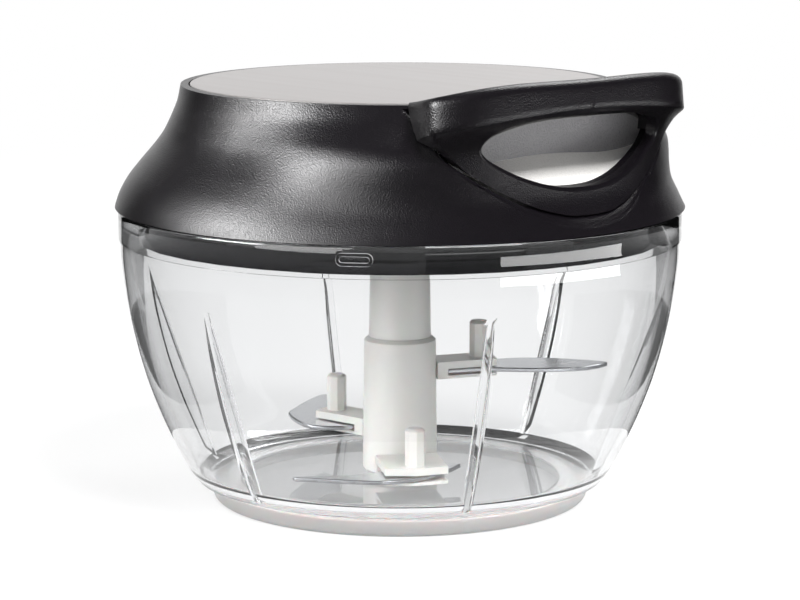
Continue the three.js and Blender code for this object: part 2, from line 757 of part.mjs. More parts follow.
function bowlRib(azimuth) {
  const within = turned([
    [0, floor_bottom],
    [floor_radius, floor_bottom],
    ...bowl_outside.map(([radius, height]) => [radius - bowl_wall / 2, height]),
    [bowl_bore_radius + fusion, band_bottom],
    [0, band_bottom],
  ]);
  const outline = [
    [bowl_foot_radius - rib_depth, floor_top - fusion],
    [bowl_radius, floor_top - fusion],
    [bowl_radius, rib_top],
    [wallRadius(rib_top_share) - bowl_wall, rib_top],
  ].map(([radius, height]) => new THREE.Vector2(radius, height));
  const blank = solidOf(
    new THREE.ExtrudeGeometry(new THREE.Shape(outline), { depth: rib_thickness, bevelEnabled: false })
      .translate(0, 0, -rib_thickness / 2)
      .rotateX(Math.PI / 2),
  );
  return spun(blank, azimuth).intersect(within);
}

// The plain raised oval on the rim band
function bowlMark() {
  const end = mark_height / 2;
  const outline = new THREE.Shape();
  outline.absarc(mark_length / 2 - end, 0, end, -Math.PI / 2, Math.PI / 2, false);
  outline.absarc(end - mark_length / 2, 0, end, Math.PI / 2, Math.PI * (1 + 1 / 2), false);
  const blank = alongX(outline.getPoints(round_steps), bowl_radius - fusion, bowl_radius + mark_relief);
  return spun(solidOf(blank.translate(0, 0, (tab_bottom + tab_top) / 2)), mark_azimuth);
}

const tab_azimuth = lug_azimuth + (lug_angle + tab_angle) / 2 + bayonet_free_angle;
function makeBowl() {
  const ribs = spread(rib_count, rib_azimuth).map(bowlRib);
  const tabs = spread(bayonet_count, tab_azimuth - tab_angle / 2).map((from) =>
    ringSector(tab_inner_radius, bowl_bore_radius + fusion, tab_bottom, tab_top, from, from + tab_angle),
  );
  const boss = bar(pin_boss_radius, floor_bottom - pin_boss_depth, floor_bottom + fusion);
  const bore = bar(pin_radius + clearance, pin_bottom - clearance, floor_top + overrun);
  return joined([bowlShell(), ...ribs, ...tabs, boss, bowlMark()]).subtract(bore);
}
const bowl = makeBowl();

const pivot_pin = turned(
  [
    [0, pin_bottom],
    [pin_radius, pin_bottom],
    [pin_radius, pin_top - pin_dome],
    [pin_radius - pin_dome, pin_top],
    [0, pin_top],
  ],
  small_steps,
);

// Lid seal
const lid_seal = turned([
  [seal_groove_radius + clearance, seal_bottom],
  [seal_radius - seal_lip, seal_bottom],
  [seal_radius, seal_bottom + seal_height / 2],
  [seal_radius - seal_lip, seal_bottom + seal_height],
  [seal_groove_radius + clearance, seal_bottom + seal_height],
]);

// Lid cover
function cordPocket(grow) {
  return box(
    pocket_back - grow,
    recess_reach,
    -pocket_half_width - grow,
    pocket_half_width + grow,
    pocket_bottom - grow,
    lug_high + clearance,
  );
}

const lid_screw_height = plate_top - screw_head - clearance;
function makeLidCover() {
  const walls = recess(-lid_wall, recess_back - lid_wall, plate_bottom + fusion).add(cordPocket(lid_wall));
  const hollow = bell(-lid_wall, lid_bottom - overrun, plate_bottom).subtract(walls);
  const disc_seat = bar(disc_radius + clearance, plate_top, lid_top + overrun, turn_steps);
  const guide_hole = solidOf(
    new THREE.CylinderGeometry(
      guide_radius + clearance,
      guide_radius + clearance,
      lid_wall + overrun,
      small_steps,
    )
      .rotateZ(Math.PI / 2)
      .translate(pocket_back - lid_wall / 2, 0, cord_height),
  );
  const screw_holes = spread(post_count, post_azimuth).flatMap((azimuth) => [
    moved(
      bar(screw_radius + clearance, plate_bottom - overrun, plate_top + overrun, screw_steps),
      ...polar(post_circle, azimuth),
    ),
    moved(
      bar(screw_head_radius + clearance, lid_screw_height - clearance, plate_top + overrun, screw_steps),
      ...polar(post_circle, azimuth),
    ),
  ]);
  return cut(bell(0, lid_bottom, lid_top), [
    hollow,
    recess(0, recess_back, plate_bottom),
    cordPocket(0),
    disc_seat,
    guide_hole,
    ...screw_holes,
  ]);
}
const lid_cover = makeLidCover();

const lid_disc = turned([
  [0, disc_bottom],
  [disc_radius, disc_bottom],
  [disc_radius, disc_top - disc_edge],
  [disc_radius - disc_edge, disc_top],
  [0, disc_top],
]);

// Lid base
const bush_radius = spindle_radius + clearance + bush_wall;
const spring_post_top = housing_bottom - clearance;
function lidLug(azimuth) {
  const from = azimuth - lug_angle / 2;
  const whole = ringSector(skirt_radius - fusion, lug_radius, lug_bottom, lug_top, from, from + lug_angle);
  const ramp = ringSector(
    skirt_radius,
    lug_radius + fusion,
    lerp(lug_top, lug_bottom, lug_ramp_share),
    lug_top + fusion,
    from - bayonet_free_angle,
    from + lug_angle * lug_lead_share,
  );
  return whole.subtract(ramp);
}

function makeLidBase() {
  const shell = turned([
    [bush_radius + clearance, boss_bottom],
    [boss_radius, boss_bottom],
    [boss_radius, base_floor_bottom],
    [skirt_inner_radius - lid_wall / 2, base_floor_bottom],
    [skirt_inner_radius, skirt_bottom],
    [skirt_radius, skirt_bottom],
    [skirt_radius, seal_bottom - clearance],
    [seal_groove_radius, seal_bottom - clearance],
    [seal_groove_radius, seal_bottom + seal_height + clearance],
    [skirt_radius, seal_bottom + seal_height + clearance],
    [skirt_radius, flange_bottom],
    [flange_radius, flange_bottom],
    [flange_radius, flange_top],
    [skirt_inner_radius, flange_top],
    [skirt_inner_radius, base_floor_top],
    [bush_radius + clearance, base_floor_top],
  ]);
  const posts = spread(post_count, post_azimuth).map((azimuth) =>
    moved(
      bar(post_radius, base_floor_top - fusion, plate_bottom - clearance, small_steps),
      ...polar(post_circle, azimuth),
    ),
  );
  const small_posts = spread(housing_post_count, housing_post_azimuth).map((azimuth) =>
    moved(
      bar(housing_post_radius, base_floor_top - fusion, spring_post_top, small_steps / 2),
      ...polar(housing_post_circle, azimuth),
    ),
  );
  const holes = spread(post_count, post_azimuth).map((azimuth) =>
    moved(
      bar(
        screw_radius + clearance,
        lid_screw_height - screw_length - clearance,
        plate_bottom + overrun,
        screw_steps,
      ),
      ...polar(post_circle, azimuth),
    ),
  );
  const small_holes = spread(housing_post_count, housing_post_azimuth).map((azimuth) =>
    moved(
      bar(
        housing_screw_radius + clearance,
        housing_bottom + housing_ear - housing_screw_length - clearance,
        spring_post_top + overrun,
        screw_steps,
      ),
      ...polar(housing_post_circle, azimuth),
    ),
  );
  const lugs = spread(bayonet_count, lug_azimuth).map(lidLug);
  return cut(joined([shell, ...posts, ...small_posts, ...lugs]), [...holes, ...small_holes]);
}
const lid_base = makeLidBase();

const lid_screws = spread(post_count, post_azimuth).map((azimuth) =>
  moved(
    screw(screw_radius, screw_head_radius, screw_length),
    ...polar(post_circle, azimuth),
    lid_screw_height,
  ),
);

// Spring housing: an inverted cup on three posts, its spring and the plate that keeps the spring in
function makeSpringHousing() {
  const cup = turned(
    [
      [journal_radius + clearance, housing_top - housing_plate],
      [housing_radius - housing_wall, housing_top - housing_plate],
      [housing_radius - housing_wall, housing_bottom],
      [housing_radius, housing_bottom],
      [housing_radius, housing_top],
      [journal_radius + clearance, housing_top],
    ],
    inner_steps,
  );
  const ears = spread(housing_post_count, housing_post_azimuth).map((azimuth) => {
    const [x, y] = polar(housing_post_circle, azimuth);
    const ear_top = housing_bottom + housing_ear;
    const pad = bar(housing_post_radius, housing_bottom, ear_top, small_steps / 2);
    const neck = box(
      housing_radius - fusion,
      housing_post_circle,
      -housing_post_radius,
      housing_post_radius,
      housing_bottom,
      ear_top,
    );
    return moved(pad, x, y).add(spun(neck, azimuth));
  });
  const holes = spread(housing_post_count, housing_post_azimuth).map((azimuth) =>
    moved(
      bar(housing_screw_radius + clearance, housing_bottom - overrun, housing_top, screw_steps),
      ...polar(housing_post_circle, azimuth),
    ),
  );
  return cut(joined([cup, ...ears]), holes);
}
const spring_housing = makeSpringHousing();

const housing_screws = spread(housing_post_count, housing_post_azimuth).map((azimuth) =>
  moved(
    screw(housing_screw_radius, housing_screw_head_radius, housing_screw_length),
    ...polar(housing_post_circle, azimuth),
    housing_bottom + housing_ear + clearance,
  ),
);

const spring_inner = arbor_radius + clearance;
const spring_outer = housing_radius - housing_wall - clearance - spring_thickness;
const spring_base = housing_bottom + spring_plate + 2 * clearance;
const spring_cover_plate = turned(
  [
    [arbor_radius + clearance, housing_bottom],
    [housing_radius - housing_wall - clearance, housing_bottom],
    [housing_radius - housing_wall - clearance, housing_bottom + spring_plate],
    [arbor_radius + clearance, housing_bottom + spring_plate],
  ],
  inner_steps,
);

function makeReturnSpring() {
  const steps = Math.round(spring_turns * spring_steps);
  const at = (i, offset) => {
    const radius = lerp(spring_inner, spring_outer, i / steps) + offset;
    return new THREE.Vector2(...polar(radius, (i * full_turn) / spring_steps));
  };
  const inside = Array.from({ length: steps + 1 }, (_, i) => at(i, 0));
  const outside = Array.from({ length: steps + 1 }, (_, i) => at(i, spring_thickness));
  return plate([...inside, ...outside.reverse()], spring_base, spring_base + spring_height);
}
const return_spring = makeReturnSpring();

// Cord reel on its spindle
const groove_bottom = reel_bottom + reel_flange;
const groove_top = groove_bottom + reel_groove;
const reel_top = groove_top + reel_top_flange;
const keyPrism = (radius, bottom, top) =>
  solidOf(
    new THREE.CylinderGeometry(radius, radius, top - bottom, key_sides)
      .rotateX(Math.PI / 2)
      .translate(0, 0, (bottom + top) / 2),
  );

const cord_reel = turned(
  [
    [dog_radius, reel_bottom],
    [reel_flange_radius, reel_bottom],
    [reel_flange_radius, groove_bottom],
    [drum_radius, groove_bottom],
    [drum_radius, groove_top],
    [reel_flange_radius, groove_top],
    [reel_flange_radius, reel_top],
    [reel_rim_radius, reel_top],
    [reel_rim_radius, reel_bottom + reel_web],
    [reel_hub_radius, reel_bottom + reel_web],
    [reel_hub_radius, reel_top],
    [dog_radius, reel_top],
  ],
  inner_steps,
).subtract(keyPrism(key_radius + clearance, reel_bottom - overrun, reel_top + overrun));

function makeWinding() {
  const low = groove_bottom + clearance;
  const step = (groove_top - clearance - low) / winding_turns;
  const turns = Array.from({ length: winding_turns }, (_, i) => [
    [winding_outer - winding_crown, low + i * step],
    [winding_outer, low + (i + 1 / 2) * step],
  ]).flat();
  return turned(
    [
      [drum_radius + clearance, low],
      ...turns,
      [winding_outer - winding_crown, groove_top - clearance],
      [drum_radius + clearance, groove_top - clearance],
    ],
    inner_steps,
  );
}
const cord_winding = makeWinding();

const journal_top = base_floor_top + clearance + bush_flange;
const arbor_bottom = reel_top + clearance;
const arbor_top = housing_top - housing_plate - clearance;
function makeSpindle() {
  const shaft = turned(
    [
      [0, clip_bottom + clip_thickness + clearance - fusion],
      [spindle_radius, clip_bottom + clip_thickness + clearance],
      [spindle_radius, journal_top + clearance],
      [bush_flange_radius - clearance, journal_top + clearance],
      [bush_flange_radius - clearance, reel_bottom - clearance],
      [dog_radius, reel_bottom - clearance],
      [dog_radius, arbor_bottom],
      [dog_radius, arbor_top],
      [journal_radius, arbor_top],
      [journal_radius, housing_top + clearance],
      [0, housing_top + clearance],
    ],
    small_steps,
  );
  const key = keyPrism(key_radius, reel_bottom - fusion, arbor_bottom + fusion);
  const core = bar(dog_core_radius, dog_bottom, clip_bottom, small_steps);
  const neck = bar(clip_groove_radius, clip_bottom - fusion, clip_bottom + clip_thickness + fusion);
  const lobe_top = clip_bottom - clearance;
  const lobes = spread(dog_count, -dog_angle / 2).map((from) =>
    ringSector(dog_core_radius - fusion, dog_radius, dog_bottom, lobe_top, from, from + dog_angle),
  );
  return joined([shaft, key, core, neck, ...lobes]);
}
const drive_spindle = makeSpindle();

const spring_arbor = turned(
  [
    [dog_radius + clearance, arbor_bottom + fusion + clearance],
    [arbor_radius, arbor_bottom + fusion + clearance],
    [arbor_radius, arbor_top - clearance],
    [dog_radius + clearance, arbor_top - clearance],
  ],
  small_steps,
);

const spindle_clip = ringSector(
  clip_groove_radius + clearance,
  clip_radius,
  clip_bottom,
  clip_bottom + clip_thickness,
  clip_opening / 2,
  full_turn - clip_opening / 2,
);

const spindle_bush = turned(
  [
    [spindle_radius + clearance, boss_bottom],
    [bush_radius, boss_bottom],
    [bush_radius, base_floor_top + clearance],
    [bush_flange_radius, base_floor_top + clearance],
    [bush_flange_radius, journal_top],
    [spindle_radius + clearance, journal_top],
  ],
  small_steps,
);

// Cord way
const guide_start = pocket_back - lid_wall - guide_inner_lip;
const guide_end = pocket_back + clearance + guide_flange;
const cord_guide = turned(
  [
    [guide_bore, guide_start],
    [guide_radius, guide_start],
    [guide_radius, pocket_back + clearance],
    [guide_flange_radius, pocket_back + clearance],
    [guide_flange_radius, guide_end],
    [guide_bore, guide_end],
  ],
  small_steps / 2,
)
  .rotate([0, 90, 0])
  .translate([0, 0, cord_height]);

// The cord leaves the drum on a tangent, passes the guide and ends in the handle's lug
function makePullCord() {
  const spread_angle = Math.acos(winding_radius / guide_start);
  const tangent = new THREE.Vector3(
    winding_radius * Math.cos(spread_angle),
    -winding_radius * Math.sin(spread_angle),
    (groove_bottom + groove_top) / 2,
  );
  const guide = new THREE.Vector3(guide_start, 0, cord_height);
  const free = Math.sqrt((winding_outer + cord_radius + clearance) ** 2 - winding_radius ** 2) + clearance;
  const start = tangent.clone().lerp(guide, free / tangent.distanceTo(guide));
  const middle = guide.clone().lerp(start, guide_inner_lip / start.distanceTo(guide));
  const route = new THREE.CatmullRomCurve3(
    [
      start,
      start.clone().lerp(middle, 1 / 2),
      middle,
      new THREE.Vector3(guide_start + guide_inner_lip, 0, cord_height),
      new THREE.Vector3(pocket_back, 0, cord_height),
      new THREE.Vector3(anchor_start - clearance, 0, cord_height),
    ],
    false,
    "centripetal",
  );
  const section = new THREE.Shape();
  section.absarc(0, 0, cord_radius, 0, 2 * Math.PI, false);
  return solidOf(
    new THREE.ExtrudeGeometry(section, {
      steps: cord_steps,
      curveSegments: round_steps,
      extrudePath: route,
      bevelEnabled: false,
    }),
  );
}
const pull_cord = makePullCord();

const cord_anchor = solidOf(
  new THREE.CylinderGeometry(anchor_radius, anchor_radius, anchor_end - anchor_start, small_steps / 2)
    .rotateZ(Math.PI / 2)
    .translate((anchor_start + anchor_end) / 2, 0, cord_height),
);

// Handle
function eyeCut() {
  const { side, other } = symmetricOutline(eye_shares, eye_half_width, eye_bottom, eye_top, eye_points);
  return solidOf(alongX([...side, ...other.reverse()], recess_back, recess_reach));
}

function makeHandle() {
  const space = recess(seam_gap, recess_back + seam_gap, plate_bottom - seam_gap);
  const lid_keep = bell(seam_gap, lid_bottom - overrun, lid_top)
    .add(bar(neck_radius + seam_gap, lid_top - fusion, band_top_middle + overrun, turn_steps))
    .subtract(space);
  const outside = handleBody(0, 0).intersect(space.add(overShoulder()));
  const room = handleBody(handle_wall, top_plate).intersect(
    recess(seam_gap + handle_wall, 0, band_top_middle + overrun),
  );
  const behind_sill = bar(seam_skin_radius - sill_depth, seam_bottom - overrun, recess_level, turn_steps);
  const lug = box(lug_back, lug_front, -lug_half_width, lug_half_width, lug_low, lug_high);
  const knot_room = box(
    anchor_start - clearance,
    anchor_end + clearance,
    -anchor_radius - clearance,
    anchor_radius + clearance,
    lug_low - overrun,
    cord_height + anchor_radius + clearance,
  );
  const cord_slot = box(
    lug_back - overrun,
    anchor_start,
    -cord_radius - clearance,
    cord_radius + clearance,
    lug_low - overrun,
    cord_height + cord_radius + clearance,
  );
  return cut(cut(outside, [lid_keep, room, behind_sill, eyeCut()]).add(lug), [knot_room, cord_slot]);
}
const pull_handle = makeHandle();

// Blade hub
function makeArm({ azimuth, rise, width }) {
  const bottom = floor_top + rise;
  const top = bottom + arm_height;
  const body = box(hub_shoulder_radius - fusion, arm_reach, -width / 2, width / 2, bottom, top);
  const end = bar(arm_reach, bottom - overrun, top + overrun);
  const gap = box(
    slot_start,
    arm_reach + overrun,
    -width,
    width,
    bottom + blade_seat - clearance,
    bottom + blade_seat + blade_thickness + clearance,
  );
  const peg = turned(
    [
      [0, top - fusion],
      [peg_radius, top - fusion],
      [peg_radius, top + peg_height - peg_round],
      [peg_radius - peg_round, top + peg_height],
      [0, top + peg_height],
    ],
    small_steps / 2,
  );
  const rivet = bar(rivet_radius, bottom, top, small_steps / 2);
  const slotted = body.intersect(end).subtract(gap);
  return spun(joined([slotted, moved(peg, peg_circle, 0), moved(rivet, peg_circle, 0)]), azimuth);
}

function makeHub() {
  const tube = turned(
    [
      [0, hub_bottom],
      [hub_foot_radius - hub_round, hub_bottom],
      [hub_foot_radius, hub_bottom + hub_round],
      [hub_shoulder_radius, hub_shoulder - hub_round],
      [hub_shoulder_radius - hub_round, hub_shoulder],
      [hub_neck_radius, hub_shoulder],
      [hub_top_radius, hub_top],
      [0, hub_top],
    ],
    turn_steps / 2,
  );
  const socket = bar(socket_radius, socket_bottom, hub_top + overrun);
  const rib_base = socket_bottom - fusion;
  const ribs = spread(dog_count, (full_turn / dog_count - dog_angle) / 2).map((from) =>
    ringSector(key_rib_radius, socket_radius + fusion, rib_base, hub_top - hub_round, from, from + dog_angle),
  );
  const pin_bore = bar(pin_radius + clearance, hub_bottom - overrun, pin_top + clearance);
  const arms = [upper_arm, middle_arm, lower_arm].map(makeArm);
  return joined([joined([tube, ...arms]).subtract(socket), ...ribs]).subtract(pin_bore);
}
const blade_hub = makeHub();

// A blade lies in its arm's slot, its rivet through it
function makeBlade({ azimuth, rise }, shares) {
  const place = ([along, across]) =>
    new THREE.Vector2(lerp(blade_root, blade_reach, along), across * blade_reach);
  const edge = new THREE.SplineCurve(shares.map(place)).getPoints(blade_points);
  const outline = [
    new THREE.Vector2(blade_root, -blade_root_half_width),
    ...edge,
    new THREE.Vector2(blade_root, blade_root_half_width),
  ];
  const low = floor_top + rise + blade_seat;
  const blank = plate(outline, low, low + blade_thickness);
  const hole = moved(
    bar(rivet_radius + clearance, low - overrun, low + blade_thickness + overrun, small_steps / 2),
    peg_circle,
    0,
  );
  return spun(blank.subtract(hole), azimuth);
}

const chopper = new THREE.Group();
chopper.add(
  meshOf("bowl", bowl, clear_plastic),
  meshOf("base_ring", base_ring, milky_rubber),
  meshOf("pivot_pin", pivot_pin, pin_steel),
);
chopper.add(meshOf("lid_seal", lid_seal, black_rubber));
chopper.add(
  meshOf("lid_cover", lid_cover, black_grained),
  meshOf("lid_disc", lid_disc, silver_disc),
  meshOf("lid_base", lid_base, black_gloss),
  meshOf("spring_housing", spring_housing, grey_plastic),
  meshOf("spring_plate", spring_cover_plate, spring_steel),
  meshOf("return_spring", return_spring, spring_steel),
  meshOf("spindle_bush", spindle_bush, brass),
  meshOf("cord_guide", cord_guide, brass),
  meshOf("pull_cord", pull_cord, cord_fibre),
);
lid_screws.forEach((solid, i) => chopper.add(meshOf(`lid_screw_${i + 1}`, solid, pin_steel)));
housing_screws.forEach((solid, i) => chopper.add(meshOf(`housing_screw_${i + 1}`, solid, pin_steel)));
chopper.add(
  meshOf("cord_reel", cord_reel, grey_plastic),
  meshOf("cord_winding", cord_winding, cord_fibre),
  meshOf("drive_spindle", drive_spindle, white_plastic),
  meshOf("spring_arbor", spring_arbor, spring_steel),
  meshOf("spindle_clip", spindle_clip, pin_steel),
);
chopper.add(
  meshOf("pull_handle", pull_handle, black_grained),
  meshOf("cord_anchor", cord_anchor, brass),
);
chopper.add(
  meshOf("blade_hub", blade_hub, white_plastic),
  meshOf("upper_blade", makeBlade(upper_arm, upper_blade_shares), blade_steel),
  meshOf("middle_blade", makeBlade(middle_arm, middle_blade_shares), blade_steel),
  meshOf("lower_blade", makeBlade(lower_arm, lower_blade_shares), blade_steel),
);

export default chopper;
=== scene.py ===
"""Looks of a pull-cord food chopper.

A clear ribbed bowl stands on a milky ring. Steel sickle blades sit on a white hub in it. A black grained
lid carries a satin disc and a pull handle whose finger opening shows the recess behind it. Sizes are in
millimetres, which the mesh helpers turn into metres. Materials, camera and lights are in metres.
"""

from __future__ import annotations

import json
import logging
import math
from dataclasses import dataclass
from enum import Enum
from functools import partial
from typing import Callable, Sequence

import bmesh
import bpy
from bmesh.types import BMesh, BMVert
from bpy.types import Material, NodeSocket, Object
from mathutils import Matrix, Vector

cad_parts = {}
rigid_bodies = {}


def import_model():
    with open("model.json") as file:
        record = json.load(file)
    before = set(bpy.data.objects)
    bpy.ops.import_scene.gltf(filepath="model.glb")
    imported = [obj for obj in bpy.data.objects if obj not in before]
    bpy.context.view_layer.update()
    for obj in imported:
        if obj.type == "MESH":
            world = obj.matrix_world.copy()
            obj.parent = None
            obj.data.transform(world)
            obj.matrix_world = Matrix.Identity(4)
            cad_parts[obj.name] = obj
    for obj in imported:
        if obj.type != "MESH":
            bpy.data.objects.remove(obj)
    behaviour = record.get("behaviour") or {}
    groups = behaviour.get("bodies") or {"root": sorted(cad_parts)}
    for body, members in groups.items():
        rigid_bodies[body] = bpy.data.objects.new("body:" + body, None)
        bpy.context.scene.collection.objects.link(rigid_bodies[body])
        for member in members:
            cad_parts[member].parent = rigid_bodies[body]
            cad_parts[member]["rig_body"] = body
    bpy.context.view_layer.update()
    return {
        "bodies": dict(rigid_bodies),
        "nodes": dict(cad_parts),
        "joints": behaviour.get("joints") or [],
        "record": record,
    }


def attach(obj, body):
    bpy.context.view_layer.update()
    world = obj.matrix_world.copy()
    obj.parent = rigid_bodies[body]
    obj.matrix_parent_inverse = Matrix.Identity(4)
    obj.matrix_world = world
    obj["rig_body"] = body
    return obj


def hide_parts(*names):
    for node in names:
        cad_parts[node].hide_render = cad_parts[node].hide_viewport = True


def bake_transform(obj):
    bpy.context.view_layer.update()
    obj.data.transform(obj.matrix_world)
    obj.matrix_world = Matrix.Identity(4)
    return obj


LOG = logging.getLogger("chopper")
MM = 0.001
WELD = 1e-7  # metres: points closer than this are one
FRAME_WELD = 1e-6  # metres, on copies of the frame's nodes
SLIVER = 5e-6  # metres: shorter edges are closed up after a cut
ON_MIDDLE = 1e-6  # points closer than this to an outline's middle line lie on it
ABOVE = 110.0  # a height that clears the whole chopper
OVERRUN = 3.0  # how far a cutting body runs past what it cuts

Point = tuple[float, float]
Place = tuple[float, float, float]
Color = tuple[float, float, float]
Range = tuple[float, float]
Row = Callable[[float], Point]


def smooth_value(table: Sequence[Point], x: float) -> float:
    """Reads a table of (x, y) points along a smooth curve through them.

    Args:
        table: points in rising order of x.
        x: where to read.

    Returns:
        The curve's height at x, held at the ends.
    """
    if x <= table[0][0]:
        return table[0][1]
    if x >= table[-1][0]:
        return table[-1][1]
    index = next(i for i in range(len(table) - 1) if x <= table[i + 1][0])
    (x0, y0), (x1, y1) = table[index], table[index + 1]
    before = table[max(index - 1, 0)]
    after = table[min(index + 2, len(table) - 1)]
    slope0 = (y1 - before[1]) / (x1 - before[0])
    slope1 = (after[1] - y0) / (after[0] - x0)
    t, span = (x - x0) / (x1 - x0), x1 - x0
    rise, fall = t * t * (3 - 2 * t), t * (1 - t)
    return y0 + (y1 - y0) * rise + span * fall * (slope0 * (1 - t) - slope1 * t)


def curve_through(points: Sequence[Point], pieces: int) -> list[Point]:
    """Lays a smooth curve through points in a plane.

    Args:
        points: the points, in order.
        pieces: how many straight pieces stand for the curve between two points.

    Returns:
        The curve's own points, with the first and the last as given.
    """
    out = []
    for i in range(len(points) - 1):
        p0, p1 = Vector(points[max(i - 1, 0)]), Vector(points[i])
        p2, p3 = Vector(points[i + 1]), Vector(points[min(i + 2, len(points) - 1)])
        for k in range(pieces):
            t = k / pieces
            a, b, c = 2 * p1, p2 - p0, 2 * p0 - 5 * p1 + 4 * p2 - p3
            out.append(tuple((a + b * t + c * t * t + (3 * p1 - p0 - 3 * p2 + p3) * t**3) / 2))
    return out + [tuple(points[-1])]


def round_corner(before: Point, corner: Point, after: Point, radius: float, pieces: int = 4) -> list[Point]:
    """Rounds one corner of a section.

    Args:
        before: the point ahead of the corner.
        corner: the corner.
        after: the point past the corner.
        radius: how far from the corner the round starts on each side.
        pieces: straight pieces in the round.

    Returns:
        The points that take the corner's place.
    """
    at = Vector(corner)
    start = at + (Vector(before) - at).normalized() * radius
    end = at + (Vector(after) - at).normalized() * radius
    steps = [k / pieces for k in range(pieces + 1)]
    return [tuple(start * (1 - t) ** 2 + at * 2 * t * (1 - t) + end * t * t) for t in steps]


def widened(half: Sequence[Point], grow: float) -> list[Point]:
    """Moves the right half of an outline outwards, and never past its middle line.

    Args:
        half: the half's points, from the bottom up.
        grow: how far it moves, and less than 0 to draw it in.

    Returns:
        The moved points.
    """
    path = [Vector(point) for point in half]
    out = []
    for i, point in enumerate(path):
        along = (path[min(i + 1, len(path) - 1)] - path[max(i - 1, 0)]).normalized()
        out.append((max(point.x + along.y * grow, 0), point.y - along.x * grow))
    return out


def mirrored(half: Sequence[Point]) -> list[Point]:
    """Closes the right half of an outline with its mirror image."""
    return [*half, *((-x, y) for x, y in reversed(half) if x > ON_MIDDLE)]


def rounded(corners: Sequence[tuple[float, float, float]]) -> list[Point]:
    """Rounds the corners of a section.

    Args:
        corners: (radius, height, round) of each corner, with a round of 0 where it is sharp.

    Returns:
        The section's points.
    """
    out: list[Point] = []
    for i, (radius, height, size) in enumerate(corners):
        before, after = corners[i - 1][:2], corners[(i + 1) % len(corners)][:2]
        out += round_corner(before, (radius, height), after, size) if size else [(radius, height)]
    return out


def ring_body(rows: Sequence[Row], steps: int) -> BMesh:
    """Spins a body whose radius and height may change with the azimuth.

    Args:
        rows: functions that give a ring's radius and height at an azimuth, one for each ring from axis to
            axis or round a closed section.
        steps: facets round the axis.

    Returns:
        The closed body.
    """
    bm = bmesh.new()
    verts = [bm.verts.new((1, 0, level)) for level in range(len(rows))]
    edges = [bm.edges.new(pair) for pair in zip(verts, verts[1:])]
    if rows[0](0)[0] > 0:
        edges.append(bm.edges.new((verts[-1], verts[0])))
    bmesh.ops.spin(
        bm, geom=verts + edges, cent=(0, 0, 0), axis=(0, 0, 1), angle=2 * math.pi, steps=steps, use_merge=True
    )
    for vert in bm.verts:
        azimuth = math.atan2(vert.co.y, vert.co.x)
        radius, height = (value * MM for value in rows[round(vert.co.z)](azimuth))
        vert.co = radius * math.cos(azimuth), radius * math.sin(azimuth), height
    bmesh.ops.remove_doubles(bm, verts=bm.verts, dist=WELD)
    return facing_out(bm)


def turned(section: Sequence[Point], steps: int) -> BMesh:
    """Spins a plain section of (radius, height) points."""
    return ring_body([lambda _, point=point: point for point in section], steps)


def facing_out(bm: BMesh) -> BMesh:
    """Turns every face of a closed body outwards.

    Args:
        bm: the body.

    Returns:
        The same body.
    """
    bmesh.ops.recalc_face_normals(bm, faces=bm.faces)
    if bm.calc_volume(signed=True) < 0:
        bmesh.ops.reverse_faces(bm, faces=bm.faces)
    return bm


def block(low: Sequence[float], high: Sequence[float]) -> BMesh:
    """Makes a box between two corners.

    Args:
        low: its lowest corner.
        high: its highest corner.

    Returns:
        The box.
    """
    bm = bmesh.new()
    bmesh.ops.create_cube(bm, size=MM)
    bmesh.ops.scale(bm, vec=[b - a for a, b in zip(low, high)], verts=bm.verts)
    bmesh.ops.translate(bm, vec=[(a + b) / 2 * MM for a, b in zip(low, high)], verts=bm.verts)
    return bm


def pushed(outline: Sequence[Sequence[float]], along: Sequence[float]) -> BMesh:
    """Pushes a flat outline along a line into a closed body.

    Args:
        outline: its (x, y, z) points.
        along: how far it goes on each axis.

    Returns:
        The body.
    """
    bm = bmesh.new()
    face = bm.faces.new([bm.verts.new([v * MM for v in point]) for point in outline])
    grown = bmesh.ops.extrude_face_region(bm, geom=[face])["geom"]
    verts = [part for part in grown if isinstance(part, BMVert)]
    bmesh.ops.translate(bm, vec=[v * MM for v in along], verts=verts)
    return facing_out(bm)


def prism(outline: Sequence[Point], back: float, front: float) -> BMesh:
    """Pushes an outline of (y, z) points along X."""
    return pushed([(back, y, z) for y, z in outline], (front - back, 0, 0))


def column(outline: Sequence[Point], bottom: float, top: float) -> BMesh:
    """Pushes an outline of (x, y) points upwards."""
    return pushed([(x, y, bottom) for x, y in outline], (0, 0, top - bottom))


def sliced(bm: BMesh, places: Sequence[float]) -> BMesh:
    """Divides a body's faces at places along X.

    Args:
        bm: the body.
        places: where it is divided.

    Returns:
        The same body.
    """
    for x in places:
        geom = [*bm.verts, *bm.edges, *bm.faces]
        bmesh.ops.bisect_plane(bm, geom=geom, plane_co=(x * MM, 0, 0), plane_no=(1, 0, 0))
    return bm


def rod(radius: float, start: Sequence[float], end: Sequence[float], steps: int = 32) -> BMesh:
    """Makes a round bar between two points.

    Args:
        radius: its radius.
        start: the middle of one end.
        end: the middle of the other end.
        steps: facets round it.

    Returns:
        The bar.
    """
    bm = bmesh.new()
    low, high = (Vector([v * MM for v in point]) for point in (start, end))
    bmesh.ops.create_cone(
        bm, cap_ends=True, segments=steps, radius1=radius * MM, radius2=radius * MM, depth=(high - low).length
    )
    turn = (high - low).to_track_quat("Z", "Y").to_matrix().to_4x4()
    bmesh.ops.transform(bm, matrix=Matrix.Translation((low + high) / 2) @ turn, verts=bm.verts)
    return bm


def drum(radius: float, bottom: float, top: float, steps: int = 32) -> BMesh:
    """Makes a round bar that stands on the chopper's axis."""
    return rod(radius, (0, 0, bottom), (0, 0, top), steps)


